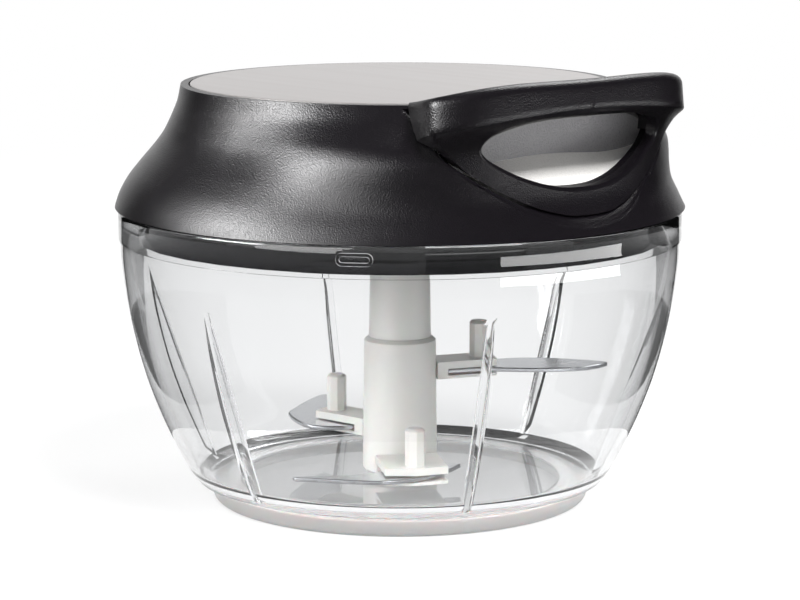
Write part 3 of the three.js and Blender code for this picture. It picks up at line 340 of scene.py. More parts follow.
def lofted(rings: Sequence[Sequence[Sequence[float]]]) -> BMesh:
    """Lofts a closed body through rings of points.

    Args:
        rings: rings of (x, y, z) points, with as many points in each.

    Returns:
        The body, closed by a fan at each end.
    """
    bm = bmesh.new()
    loops = []
    for ring in rings:
        verts = [bm.verts.new([v * MM for v in point]) for point in ring]
        loops.append([bm.edges.new(pair) for pair in zip(verts, verts[1:] + verts[:1])])
    for near, far in zip(loops, loops[1:]):
        bmesh.ops.bridge_loops(bm, edges=near + far)
    for loop in (loops[0], loops[-1]):
        bmesh.ops.poke(bm, faces=bmesh.ops.contextual_create(bm, geom=loop)["faces"])
    return facing_out(bm)


def fillet(radius: float, angles: Sequence[float] = (10, 30, 50, 70, 84)) -> list[Point]:
    """Gives a round's steps across an edge.

    Args:
        radius: the round's radius.
        angles: where its steps lie, in degrees.

    Returns:
        Pairs of depth and widening, of which the last lies just outside the edge.
    """
    turns = [math.radians(angle) for angle in angles]
    steps = [(-radius * (1 - math.sin(turn)), radius * (1 - math.cos(turn))) for turn in turns]
    return [*steps, (radius / 2, radius)]


def spun(bm: BMesh, degrees: float) -> BMesh:
    """Turns a body about Z."""
    bmesh.ops.transform(bm, matrix=Matrix.Rotation(math.radians(degrees), 4, "Z"), verts=bm.verts)
    return bm


def placed(name: str, data: bpy.types.ID) -> Object:
    """Puts a new object into the scene.

    Args:
        name: its name.
        data: its mesh, lamp or camera.

    Returns:
        The object.
    """
    made = bpy.data.objects.new(name, data)
    bpy.context.scene.collection.objects.link(made)
    return made


def shaped(name: str, bm: BMesh) -> Object:
    """Puts a mesh under construction into the scene as an object.

    Args:
        name: the object's name.
        bm: the mesh, used up here.

    Returns:
        The object.
    """
    mesh = bpy.data.meshes.new(name)
    bm.to_mesh(mesh)
    bm.free()
    return placed(name, mesh)


class Solid:
    """A closed body that is joined and cut with others before it becomes a piece."""

    def __init__(self, bm: BMesh) -> None:
        """Takes over a mesh under construction."""
        self.blank = shaped("blank", bm)

    def _combine(self, others: Sequence["Solid"], operation: str) -> "Solid":
        """Runs one boolean with each of the other bodies.

        Args:
            others: the other bodies, used up here.
            operation: what the boolean does.

        Returns:
            This body.
        """
        for other in others:
            tool = self.blank.modifiers.new("shape", "BOOLEAN")
            tool.operation, tool.solver, tool.object = operation, "MANIFOLD", other.blank
        graph = bpy.context.evaluated_depsgraph_get()
        mesh = bpy.data.meshes.new_from_object(self.blank.evaluated_get(graph))
        self.blank.modifiers.clear()
        self.blank.data = mesh
        for other in others:
            bpy.data.objects.remove(other.blank)
        return self

    def cut(self, *others: "Solid") -> "Solid":
        """Takes the other bodies away from this one."""
        return self._combine(others, "DIFFERENCE")

    def add(self, *others: "Solid") -> "Solid":
        """Joins the other bodies to this one."""
        return self._combine(others, "UNION")

    def keep(self, *others: "Solid") -> "Solid":
        """Keeps only what lies inside the other bodies."""
        return self._combine(others, "INTERSECT")

    def opened(self) -> BMesh:
        """Gives the mesh back as it is and removes the blank.

        Returns:
            The mesh.
        """
        bm = bmesh.new()
        bm.from_mesh(self.blank.data)
        bpy.data.objects.remove(self.blank)
        return bm

    def finished(self) -> BMesh:
        """Gives the shaped mesh back, cleared of slivers.

        Returns:
            The mesh.
        """
        bm = self.opened()
        bmesh.ops.remove_doubles(bm, verts=bm.verts, dist=SLIVER)
        bmesh.ops.dissolve_degenerate(bm, edges=bm.edges, dist=SLIVER)
        return bm


class Shader:
    """A node material under construction, with its main shader and the object's own coordinates."""

    def __init__(self, name: str) -> None:
        """Starts an empty material of that name."""
        self.material = bpy.data.materials.new(name)
        self.material.use_nodes = True
        self.tree = self.material.node_tree
        self.main = self.tree.nodes["Principled BSDF"]
        self.place = self.tree.nodes.new("ShaderNodeTexCoord").outputs["Object"]

    def set(self, **values: object) -> "Shader":
        """Sets sockets of the main shader; underscores stand for spaces."""
        for name, value in values.items():
            self.main.inputs[name.replace("_", " ")].default_value = value
        return self

    def node(self, kind: str, links: dict[str, object], **options: object) -> bpy.types.Node:
        """Adds a node.

        Args:
            kind: the node's type, without its ShaderNode prefix.
            links: input name or number to a value, or to the output that feeds it.
            **options: the node's own settings.

        Returns:
            The new node.
        """
        made = self.tree.nodes.new("ShaderNode" + kind)
        for name, value in options.items():
            setattr(made, name, value)
        for name, value in links.items():
            if isinstance(value, NodeSocket):
                self.tree.links.new(value, made.inputs[name])
            else:
                made.inputs[name].default_value = value
        return made

    def feed(self, output: NodeSocket, socket: str) -> "Shader":
        """Links an output to a socket of the main shader."""
        self.tree.links.new(output, self.main.inputs[socket])
        return self

    def deliver(self, output: NodeSocket, socket: str) -> None:
        """Links an output to the material's own output."""
        self.tree.links.new(output, self.tree.nodes["Material Output"].inputs[socket])

    def ramp(self, near: float, far: float, low: float, high: float) -> NodeSocket:
        """Makes a value that changes between two distances.

        Args:
            near: where it starts to change, in metres from the chopper's foot.
            far: where it ends.
            low: the value up to the start.
            high: the value from the end on.

        Returns:
            The value's output.
        """
        away = self.node("VectorMath", {0: self.place}, operation="LENGTH").outputs["Value"]
        limits = {"Value": away, "From Min": near, "From Max": far, "To Min": low, "To Max": high}
        return self.node("MapRange", limits).outputs["Result"]

    def stretched(self, scale: Sequence[float]) -> NodeSocket:
        """Gives the object's coordinates, scaled."""
        return self.node("Mapping", {"Vector": self.place, "Scale": scale}).outputs["Vector"]

    def noise(self, scale: float, detail: float = 2, vector: object = None) -> NodeSocket:
        """Adds noise.

        Args:
            scale: how fine it is.
            detail: how many finer layers it has.
            vector: other coordinates, where it isn't on the object's own.

        Returns:
            The noise's output.
        """
        where = self.place if vector is None else vector
        links = {"Vector": where, "Scale": scale, "Detail": detail}
        return self.node("TexNoise", links).outputs[0]

    def spread(self, value: object, low: float, high: float) -> NodeSocket:
        """Maps a value from 0 to 1 on a range."""
        links = {"Value": value, "To Min": low, "To Max": high}
        return self.node("MapRange", links).outputs["Result"]

    def tint(self, value: object, dark: Sequence[float], light: Sequence[float]) -> NodeSocket:
        """Mixes two colours by a value from 0 to 1.

        Args:
            value: the value's output.
            dark: the colour at 0.
            light: the colour at 1.

        Returns:
            The colour's output.
        """
        made = self.node("Mix", {0: value}, data_type="RGBA")
        made.inputs[6].default_value = (*dark, 1)
        made.inputs[7].default_value = (*light, 1)
        return made.outputs[2]

    def bump(self, height: object, distance: float, strength: float = 1) -> "Shader":
        """Presses a height into the surface, in metres."""
        links = {"Height": height, "Distance": distance, "Strength": strength}
        return self.feed(self.node("Bump", links).outputs["Normal"], "Normal")


@dataclass(frozen=True)
class GrainedBlack:
    """Moulded plastic with a fine leather-like grain, black unless other colours are given, as for the
    recess's painted light and painted shade.
    """

    name: str = "grained_black"
    dark: Color = (0.0012, 0.001, 0.0014)
    light: Color = (0.006, 0.0049, 0.0066)
    grain_scale: float = 3600.0
    grain_depth: float = 0.00005
    roughness: Range = (0.24, 0.38)
    specular: float = 0.4

    def build(self) -> Material:
        """Makes the material.

        Returns:
            The material.
        """
        shader = Shader(self.name)
        links = {"Vector": shader.place, "Scale": self.grain_scale, "Smoothness": 0.6}
        cells = shader.node("TexVoronoi", links, feature="SMOOTH_F1").outputs["Distance"]
        soft = shader.noise(self.grain_scale * 0.8, 2)
        height = shader.node("Math", {0: cells, 1: soft}, operation="ADD").outputs[0]
        shader.feed(shader.tint(height, self.dark, self.light), "Base Color")
        shader.feed(shader.spread(soft, *self.roughness), "Roughness")
        shader.set(Specular_IOR_Level=self.specular)
        return shader.bump(height, self.grain_depth, 1.0).material


@dataclass(frozen=True)
class ClearPlastic:
    """Clear glossy plastic that lets light through to what is in the bowl."""

    name: str = "clear_plastic"
    color: Color = (0.985, 0.988, 0.99)
    deep: Color = (0.48, 0.5, 0.54)
    density: float = 28.0
    ior: float = 1.49
    roughness: Range = (0.01, 0.03)
    shadow: float = 0.12

    def build(self) -> Material:
        """Makes the material.

        Returns:
            The material.
        """
        shader = Shader(self.name)
        ray = shader.node("LightPath", {}).outputs["Is Shadow Ray"]
        shader.feed(shader.spread(ray, 1, self.shadow), "Alpha")
        dark = [c * 0.985 for c in self.color]
        shader.feed(shader.tint(shader.noise(9, 1), dark, self.color), "Base Color")
        shader.feed(shader.spread(shader.noise(26, 2), *self.roughness), "Roughness")
        shader.set(IOR=self.ior, Transmission_Weight=1)
        depth = shader.node("VolumeAbsorption", {"Color": (*self.deep, 1), "Density": self.density})
        shader.deliver(depth.outputs["Volume"], "Volume")
        return shader.bump(shader.noise(30, 1), 0.00002, 0.2).material


@dataclass(frozen=True)
class Moulded:
    """Plain moulded plastic or rubber with a slightly uneven surface."""

    name: str
    color: Color
    roughness: float
    variation: float = 0.08
    bump_depth: float = 0.00004
    bump_scale: float = 700.0
    transmission: float = 0.0
    subsurface: float = 0.0

    def build(self) -> Material:
        """Makes the material.

        Returns:
            The material.
        """
        shader = Shader(self.name)
        dark = [c * (1 - self.variation) for c in self.color]
        shader.feed(shader.tint(shader.noise(70, 3), dark, self.color), "Base Color")
        fine = shader.noise(self.bump_scale, 2)
        shader.feed(shader.spread(fine, self.roughness * 0.85, self.roughness * 1.15), "Roughness")
        shader.set(Transmission_Weight=self.transmission)
        shader.set(Subsurface_Weight=self.subsurface, Subsurface_Scale=0.004)
        return shader.bump(fine, self.bump_depth, 0.4).material


@dataclass(frozen=True)
class Metal:
    """Metal with a ground grain along one direction."""

    name: str
    color: Color
    roughness: float
    grain: Place = (20.0, 900.0, 20.0)
    depth: float = 0.00001
    metallic: float = 1.0
    specular: float = 0.5

    def build(self) -> Material:
        """Makes the material.

        Returns:
            The material.
        """
        shader = Shader(self.name)
        lines = shader.noise(1, 3, shader.stretched(self.grain))
        dark = [c * 0.86 for c in self.color]
        shader.feed(shader.tint(lines, dark, self.color), "Base Color")
        shader.feed(shader.spread(lines, self.roughness * 0.8, self.roughness * 1.25), "Roughness")
        shader.set(Metallic=self.metallic, Specular_IOR_Level=self.specular)
        return shader.bump(lines, self.depth, 0.5).material


@dataclass(frozen=True)
class Braid:
    """Braided cord."""

    name: str = "cord"
    color: Color = (0.72, 0.71, 0.67)

    def build(self) -> Material:
        """Makes the material.

        Returns:
            The material.
        """
        shader = Shader(self.name)
        place = shader.stretched((900, 1400, 1400))
        weave = shader.node("TexWave", {"Vector": place, "Scale": 1, "Distortion": 2}).outputs[1]
        shader.feed(shader.tint(weave, [c * 0.6 for c in self.color], self.color), "Base Color")
        shader.set(Roughness=0.85)
        return shader.bump(weave, 0.0001, 0.6).material


class Finish(Enum):
    """Every finish on the chopper, and the colours that paint light and shade on the recess and on the mark's
    edges.
    """

    GRAINED_BLACK = GrainedBlack()
    # painted light and shade: the recess behind the handle gets a pale copy of the grained black on its floor
    # for the light that falls in through the opening, and a dark grey copy on its upright walls for the shade
    # under the band
    RECESS_FLOOR_PAINTED_LIGHT = GrainedBlack("recess_floor_painted_light", (0.7, 0.685, 0.66), (0.9, 0.885, 0.86), 2700.0, 0.00003)
    RECESS_WALL_PAINTED_SHADE = GrainedBlack("recess_wall_painted_shade", (0.14, 0.137, 0.145), (0.27, 0.265, 0.275), 2700.0, 0.00003)
    # painted highlight: opaque white for the light that the clear oval outline's edges catch
    MARK_EDGE_PAINTED_HIGHLIGHT = Moulded("mark_edge_painted_highlight", (0.8, 0.8, 0.82), 0.4)
    CLEAR = ClearPlastic()
    MILKY_RING = Moulded(
        "milky_ring", (0.4, 0.395, 0.39), 0.35, variation=0.03, transmission=0.12, subsurface=0.3
    )
    GLOSS_BLACK = Moulded("gloss_black", (0.009, 0.009, 0.0105), 0.1, bump_scale=60)
    BLACK_RUBBER = Moulded("black_rubber", (0.02, 0.02, 0.02), 0.75)
    WHITE_PLASTIC = Moulded("white_plastic", (0.72, 0.713, 0.68), 0.38, variation=0.03, subsurface=0.15)
    GREY_PLASTIC = Moulded("grey_plastic", (0.27, 0.28, 0.29), 0.5)
    SATIN_DISC = Metal(
        "satin_disc", (0.345, 0.33, 0.326), 0.36, (5.0, 260.0, 5.0), metallic=0.35, specular=0.2
    )
    BLADE_STEEL = Metal("blade_steel", (0.56, 0.57, 0.59), 0.24, (600.0, 40.0, 40.0))
    PIN_STEEL = Metal("pin_steel", (0.58, 0.58, 0.59), 0.3)
    SPRING_STEEL = Metal("spring_steel", (0.24, 0.26, 0.29), 0.35)
    BRASS = Metal("brass", (0.52, 0.38, 0.15), 0.32)
    CORD = Braid()


class Workshop:
    """Turns meshes into pieces that ride on the frame's bodies."""

    def __init__(self, frame: dict) -> None:
        """Keeps the frame and makes every finish once."""
        self.nodes = frame["nodes"]
        self.bodies = {node: obj["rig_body"] for node, obj in self.nodes.items()}
        self.slots = {row["node"]: row["material_slot"] for row in frame["record"]["subparts"]}
        self.materials = {finish: finish.value.build() for finish in Finish}

    def dress(self, node: str, finish: Finish) -> None:
        """Gives a carried-over node its finish.

        Args:
            node: the node.
            finish: its finish.
        """
        mesh = self.nodes[node].data
        mesh.materials.clear()
        mesh.materials.append(self.materials[finish])

    def piece(
        self, name: str, bm: BMesh, finish: Finish, node: str, sharp: float = 35, rides: bool = True
    ) -> Object:
        """Makes a finished piece that takes a node's place.

        Args:
            name: the piece's name.
            bm: its mesh, used up here.
            finish: its finish.
            node: the node that it stands for.
            sharp: edges that turn by more than this many degrees stay sharp.
            rides: False for a piece that is not attached to a body.

        Returns:
            The new object.
        """
        limit = math.radians(sharp)
        for face in bm.faces:
            face.smooth = True
        for edge in bm.edges:
            edge.smooth = len(edge.link_faces) == 2 and edge.calc_face_angle() < limit
        made = shaped(name, bm)
        made.data.materials.append(self.materials[finish])
        if rides:
            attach(made, self.bodies[node])
        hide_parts(node)
        LOG.info("%s stands for %s", name, node)
        return made

    def add_painted_light(
        self, piece: Object, finish: Finish, where: Callable[[Vector, Vector], bool]
    ) -> None:
        """Gives the faces that pass a test another colour, which paints light or shade on them.

        Args:
            piece: the piece.
            finish: the finish whose colour paints the light or shade.
            where: a test of a face's centre, in millimetres, and its normal.
        """
        piece.data.materials.append(self.materials[finish])
        last = len(piece.data.materials) - 1
        for face in piece.data.polygons:
            if where(face.center / MM, face.normal):
                face.material_index = last

    def copied(self, node: str) -> BMesh:
        """Gives a merged copy of a node's mesh.

        Args:
            node: the node.

        Returns:
            The copy.
        """
        bm = bmesh.new()
        bm.from_mesh(self.nodes[node].data)
        bmesh.ops.remove_doubles(bm, verts=bm.verts, dist=FRAME_WELD)
        return bm

    def refined(self, node: str, finish: Finish, round_by: float = 0, sharp: float = 35) -> Object:
        """Makes a merged, softened copy of a node.

        Args:
            node: the node to copy.
            finish: the copy's finish.
            round_by: radius of the round on its sharp edges.
            sharp: edges that turn by more than this many degrees stay sharp.

        Returns:
            The copy, which takes the node's place.
        """
        bm = self.copied(node)
        bmesh.ops.dissolve_limit(bm, angle_limit=math.radians(0.5), verts=bm.verts, edges=bm.edges)
        made = self.piece(node + "_fine", bm, finish, node, sharp)
        if round_by:
            edge_round = made.modifiers.new("edge_round", "BEVEL")
            edge_round.width, edge_round.segments = round_by * MM, 2
            edge_round.limit_method, edge_round.angle_limit = "ANGLE", math.radians(sharp)
            edge_round.harden_normals = False
        return made


@dataclass
class Bowl:
    """The clear bowl, its soft ring and the pin that the blades turn on. Sizes in millimetres."""

    steps: int = 192
    foot_radius: float = 45.6
    foot_height: float = 4.4
    radius: float = 65.1
    height: float = 68.3
    band_bottom: float = 61.2
    band_step: float = 0.35
    band_round: float = 0.3
    wall: float = 2.2
    bore: float = 62.5
    rim_rounds: Range = (0.8, 0.5)
    floor_bottom: float = 2.4
    floor_top: float = 5.0
    floor_radius: float = 42.6
    floor_round: float = 3.2
    inner_foot_radius: float = 37.3
    foot_step: float = 0.4
    rib_count: int = 6
    rib_azimuth: float = -22.5
    rib_thickness: float = 1.8
    rib_foot: float = 44.5
    rib_head: float = 62.0
    rib_top: float = 52.0
    rib_round: float = 0.55
    sink: float = 0.5
    tab_count: int = 4
    tab_inner: float = 60.9
    tab_bottom: float = 64.8
    tab_top: float = 66.2
    tab_azimuth: float = -25.5
    tab_angle: float = 20.0
    pin_bore: float = 2.3
    pin_depth: float = 2.7
    boss_radius: float = 5.5
    boss_heights: Range = (1.4, 3.0)
    mark_azimuth: float = -49.0
    mark_height: float = 65.5
    mark_width: float = 8.0
    mark_tall: float = 2.8
    mark_line: float = 0.75
    mark_sink: float = 0.4
    mark_rise: float = 0.45
    # how far proud of the band the mark's faces with the painted highlight start and end
    mark_painted_highlight: Range = (0.12, 0.4)

    # (radius, height, round) of the soft ring's corners
    RING = ((37.6, 0.0, 0.9), (43.4, 0.0, 0.9), (45.0, 4.1, 0.6), (37.6, 4.1, 0.3))
    # the section's place for its sharp inner corner, which stands before that corner's round, and the corner
    RING_TIP = (15, (37.6, 4.1))
    WALL_SHARES = (
        (0.015, 0.12),
        (0.073, 0.238),
        (0.17, 0.378),
        (0.3, 0.546),
        (0.465, 0.718),
        (0.68, 0.876),
        (0.893, 0.966),
    )

    def _outside(self) -> list[Point]:
        """Lays the wall's outside through its shares.

        Returns:
            (radius, height) points from the foot up to the band.
        """
        points = [
            (
                self.foot_radius + out * (self.radius - self.foot_radius),
                self.foot_height + up * (self.band_bottom - self.foot_height),
            )
            for up, out in self.WALL_SHARES
        ]
        return curve_through([*points, (self.radius - self.band_step, self.band_bottom)], 5)

    def _shell(self) -> BMesh:
        """Spins the wall, floor and rim band.

        Returns:
            The closed body.
        """
        outside = self._outside()
        inside = [(r - self.wall, z) for r, z in outside[5:]]
        foot, rim = (self.radius, self.band_bottom), (self.radius, self.height)
        corner = (self.floor_radius, self.floor_top)
        outer_round, inner_round = self.rim_rounds
        section = [
            (0, self.floor_bottom),
            (self.inner_foot_radius, self.floor_bottom),
            (self.inner_foot_radius, self.foot_height),
            (self.foot_radius - self.foot_step, self.foot_height),
            *outside,
            *round_corner(outside[-1], foot, rim, self.band_round, 3),
            *round_corner(foot, rim, (self.bore, self.height), outer_round),
            *round_corner(rim, (self.bore, self.height), (self.bore, 0), inner_round),
            *reversed(inside[:-1]),
            *round_corner(inside[0], corner, (0, self.floor_top), self.floor_round, 8),
            (0, self.floor_top),
        ]
        return turned(section, self.steps)

    def _rib(self, azimuth: float) -> Solid:
        """Makes one rib, which runs out into the wall in a point.

        Args:
            azimuth: where it stands, in degrees.

        Returns:
            The rib, with its free edge rounded.
        """
        low, high, half = self.floor_top - self.sink, self.rib_top, self.rib_thickness / 2
        outline = [(self.rib_foot, low), (self.radius, low), (self.radius, high), (self.rib_head, high)]
        bm = pushed([(r, -half, z) for r, z in outline], (0, self.rib_thickness, 0))
        free = [
            edge
            for edge in bm.edges
            if abs(edge.verts[0].co.y - edge.verts[1].co.y) < WELD
            and all(vert.co.x < (self.rib_head + self.sink) * MM for vert in edge.verts)
        ]
        bmesh.ops.bevel(
            bm, geom=free, offset=self.rib_round * MM, segments=3, profile=0.5, affect="EDGES", material=-1
        )
        within = [(r - self.wall / 2, z) for r, z in self._outside()]
        start, end = (0, self.floor_bottom), (0, self.band_bottom)
        trim = turned([start, (self.floor_radius, self.floor_bottom), *within, end], self.steps)
        return Solid(spun(bm, azimuth)).keep(Solid(trim))

    def _tab(self, azimuth: float) -> Solid:
        """Makes one bayonet tab inside the rim.

        Args:
            azimuth: where it stands, in degrees.

        Returns:
            The tab.
        """
        outer, low, high = self.bore + self.sink, self.tab_bottom, self.tab_top
        section = [(self.tab_inner, low), (outer, low), (outer, high), (self.tab_inner, high)]
        across = self.radius * math.tan(math.radians(self.tab_angle / 2))
        wedge = column([(0, 0), (self.radius, -across), (self.radius, across)], self.band_bottom, self.height)
        return Solid(turned(section, self.steps // 2)).keep(Solid(spun(wedge, azimuth)))

    def _oval(self, inset: float) -> list[Point]:
        """Gives the mark's outline.

        Args:
            inset: how far it is drawn in.

        Returns:
            The outline's (y, z) points.
        """
        centre, reach = (self.mark_width - self.mark_tall) / 2, self.mark_tall / 2 - inset
        outline = []
        for side in (1, -1):
            for k in range(13):
                turn = math.radians(15 * k - 90 * side)
                across, up = reach * math.cos(turn), reach * math.sin(turn)
                outline.append((side * centre + across, self.mark_height + up))
        return outline

    def _mark(self) -> Solid:
        """Makes the raised oval outline on the rim band.

        Returns:
            The outline, as a body.
        """
        back = self.radius - self.mark_sink
        oval = Solid(prism(self._oval(0), back, self.radius + 1))
        oval.cut(Solid(prism(self._oval(self.mark_line), back - 1, self.radius + 2)))
        skin = drum(self.radius + self.mark_rise, self.band_bottom, self.height + OVERRUN, self.steps)
        oval.keep(Solid(skin))
        return Solid(spun(oval.opened(), self.mark_azimuth))

    def build(self, shop: Workshop) -> None:
        """Builds and dresses the bowl, its ring and its pin.

        Args:
            shop: where the pieces are made.
        """
        ribs = [self._rib(self.rib_azimuth + k * 360 / self.rib_count) for k in range(self.rib_count)]
        tabs = [self._tab(self.tab_azimuth + k * 360 / self.tab_count) for k in range(self.tab_count)]
        boss = Solid(drum(self.boss_radius, *self.boss_heights))
        bore = Solid(drum(self.pin_bore, self.pin_depth, self.floor_top + OVERRUN))
        shell = Solid(self._shell()).add(*ribs, *tabs, boss, self._mark()).cut(bore)
        bowl = shop.piece("bowl_clear", shell.finished(), Finish.CLEAR, "bowl", 30)
        # painted highlight: the flanks of the clear oval outline get an opaque white for the light its edges
        # catch
        near, far = (self.radius + proud for proud in self.mark_painted_highlight)
        shop.add_painted_light(bowl, Finish.MARK_EDGE_PAINTED_HIGHLIGHT, lambda at, _: near < math.hypot(at.x, at.y) < far)
        section = rounded(self.RING)
        section.insert(*self.RING_TIP)
        shop.piece("ring_soft", turned(section, self.steps), Finish.MILKY_RING, "base_ring")
        shop.refined("pivot_pin", Finish.PIN_STEEL)


@dataclass
class Lid:
    """The lid's bell, its disc and the recess behind the handle. Sizes in millimetres."""

    steps: int = 240
    rows: int = 46
    bottom: float = 68.6
    top: float = 96.6
    radius: float = 65.8
    neck: float = 50.4
    wall: float = 2.2
    fairing_inner: float = 40.0
    fairing_outer: float = 82.0
    plate_bottom: float = 93.7
    plate_top: float = 95.3
    disc_radius: float = 48.3
    disc_bottom: float = 95.6
    disc_top: float = 96.8
    disc_round: float = 0.5
    gap: float = 0.3
    seam_half: float = 32.8
    seam_bottom: float = 73.2
    seam_top: float = 97.0
    skin_radius: float = 62.0
    recess_back: float = 47.5
    recess_rise: float = 11.2
    recess_level: float = 88.0
    recess_reach: float = 68.8
    recess_slices: int = 18
    recess_round: float = 5.0
    pocket_back: float = 54.5
    pocket_half: float = 6.6
    pocket_bottom: float = 73.5
    pocket_top: float = 78.3
    cord_height: float = 75.7
    guide_bore: float = 2.0
    guide_ends: Range = (50.0, 60.0)
    lap: float = 0.5
    edge: float = 0.8
    edge_start: float = 1.2
    edge_keep: float = 1.3
    edge_reach: float = 6.0
    edge_rise: float = 0.6
    fade: float = 7.0
    least_fade: float = 0.05
    # where the recess's painted light and shade go: faces this far under the skin and this far in from one
    # side get the painted light, and those among them whose normal rises less than the last value get the
    # painted shade
    painted_light_depth: float = 3.6
    painted_light_inset: float = 4.0
    painted_shade_upright: float = 0.3

    LEVELS = (0, 0.03, 0.12, 0.24, 0.37, 0.5, 0.6, 0.69, 0.77, 0.87, 1)
    BACK = (1, 0.985, 0.925, 0.8, 0.612, 0.41, 0.275, 0.188, 0.122, 0.05, 0)
    FRONT = (1, 0.97, 0.89, 0.79, 0.755, 0.745, 0.715, 0.61, 0.43, 0.21, 0)
    SEAM = (
        (0, 0),
        (0.15, 0.008),
        (0.33, 0.042),
        (0.49, 0.1),
        (0.64, 0.193),
        (0.79, 0.315),
        (0.866, 0.387),
        (0.93, 0.466),
        (0.985, 0.56),
        (1, 0.68),
    )

    def fairing(self, azimuth: float) -> float:
        """Gives the fairing's share at an azimuth.

        Args:
            azimuth: the azimuth, in radians.

        Returns:
            0 round the back to 1 at the handle.
        """
        away = abs(math.degrees(azimuth))
        share = (self.fairing_outer - away) / (self.fairing_outer - self.fairing_inner)
        share = min(max(share, 0), 1)
        return share * share * (3 - 2 * share)

    def skin(self, height: float, azimuth: float) -> float:
        """Gives the bell's outside radius.

        Args:
            height: the height.
            azimuth: the azimuth, in radians.

        Returns:
            The radius.
        """
        level = (height - self.bottom) / (self.top - self.bottom)
        back = smooth_value(list(zip(self.LEVELS, self.BACK)), level)
        front = smooth_value(list(zip(self.LEVELS, self.FRONT)), level)
        share = back + (front - back) * self.fairing(azimuth)
        return self.neck + (self.radius - self.neck) * share

    def bell(self, grow: float, bottom: float, top: float) -> Solid:
        """Makes the bell as a full solid.

        Args:
            grow: how far its skin is moved outwards.
            bottom: its lowest height.
            top: its highest height.

        Returns:
            The solid.
        """
        heights = [bottom + (top - bottom) * k / (self.rows - 1) for k in range(self.rows)]
        table: list[Row] = [lambda _: (0, bottom)]
        table += [lambda azimuth, h=height: (self.skin(h, azimuth) + grow, h) for height in heights]
        table.append(lambda _: (0, top))
        return Solid(ring_body(table, self.steps))

    def _seam(self, inset: float, ceiling: float) -> list[Point]:
        """Gives the seam's outline.

        Args:
            inset: how far it is drawn in.
            ceiling: the height that closes it.

        Returns:
            The outline's (y, z) points.
        """
        points = [
            (across * self.seam_half, self.seam_bottom + up * (self.seam_top - self.seam_bottom))
            for across, up in self.SEAM
        ]
        side = widened(curve_through(points, 6), -inset)
        return mirrored([*side, (side[-1][0], ceiling)])

    def _risen(self, x: float, y: float, z: float) -> float:
        """Raises a point of the recess's outline with the floor.

        Args:
            x: how far out the point lies.
            y: how far across.
            z: its height on the outline.

        Returns:
            Its height, with the floor's rise inwards.
        """
        slope = self.recess_rise / (self.skin_radius - self.recess_back)
        skin = math.sqrt(self.skin_radius**2 - min(abs(y), self.seam_half) ** 2)
        share = min(max((self.recess_level - z) / (self.recess_level - self.seam_bottom), 0), 1)
        return z + slope * (skin - x) * share

    def _seam_ring(self, inset: float, depth: float, ceiling: float) -> list[Place]:
        """Lays the seam's outline on the bell's skin.

        Args:
            inset: how far it is drawn in, which fades towards the ceiling.
            depth: how far it stands outside the skin.
            ceiling: the height that closes it.

        Returns:
            The ring's points.
        """
        ring = []
        for (wide, z), (plain, _) in zip(self._seam(inset, ceiling), self._seam(0, ceiling)):
            y = plain + (wide - plain) * min(max((ceiling - z) / self.fade, self.least_fade), 1)
            x, height = self.skin_radius, z
            for _ in range(3):
                x = math.sqrt((self.skin(height, math.atan2(y, x)) + depth) ** 2 - y * y)
                height = self._risen(x, y, z)
            ring.append((x, y, height))
        return ring

    def recess(self, inset: float, back: float, ceiling: float) -> Solid:
        """Makes the space behind the handle, its floor rising towards the flat back wall.

        Args:
            inset: how far its sides are drawn in.
            back: where the back wall stands along X.
            ceiling: the height that closes it.

        Returns:
            The space, as a body to cut with.
        """
        front, slices = self.recess_reach, self.recess_slices
        bm = prism(self._seam(inset, ceiling), back, front)
        sliced(bm, [back + (front - back) * k / slices for k in range(1, slices)])
        for vert in bm.verts:
            vert.co.z = self._risen(*(vert.co / MM)) * MM
        half, turn = self.seam_half - inset + self.lap, self.recess_round - inset
        plan = [(front, -half), (front, half)]
        for side, first in ((1, 90), (-1, 180)):
            for k in range(9):
                angle = math.radians(first + 11.25 * k)
                across = side * (half - turn) + turn * math.sin(angle)
                plan.append((back + turn + turn * math.cos(angle), across))
        return Solid(bm).keep(Solid(column(plan, self.bottom - OVERRUN, ceiling + OVERRUN)))

    def pocket(self, grow: float) -> Solid:
        """Makes the pocket in the recess floor that the cord comes out of.

        Args:
            grow: how far its sides are moved outwards.

        Returns:
            The pocket, as a body to cut with.
        """
        half = self.pocket_half + grow
        low = (self.pocket_back - grow, -half, self.pocket_bottom - grow)
        return Solid(block(low, (self.recess_reach, half, self.pocket_top)))

    def _in_recess(self, at: Vector) -> bool:
        """Tells whether a point of the bell's surface lies in the recess, clear of its edge.

        Args:
            at: the point, in millimetres.

        Returns:
            Whether it does.
        """
        inside = math.hypot(at.x, at.y) < self.skin(at.z, math.atan2(at.y, at.x)) - self.painted_light_depth
        behind = at.x > self.recess_back - self.lap
        return inside and behind and self.painted_light_inset - self.seam_half < at.y < self.seam_half + self.lap

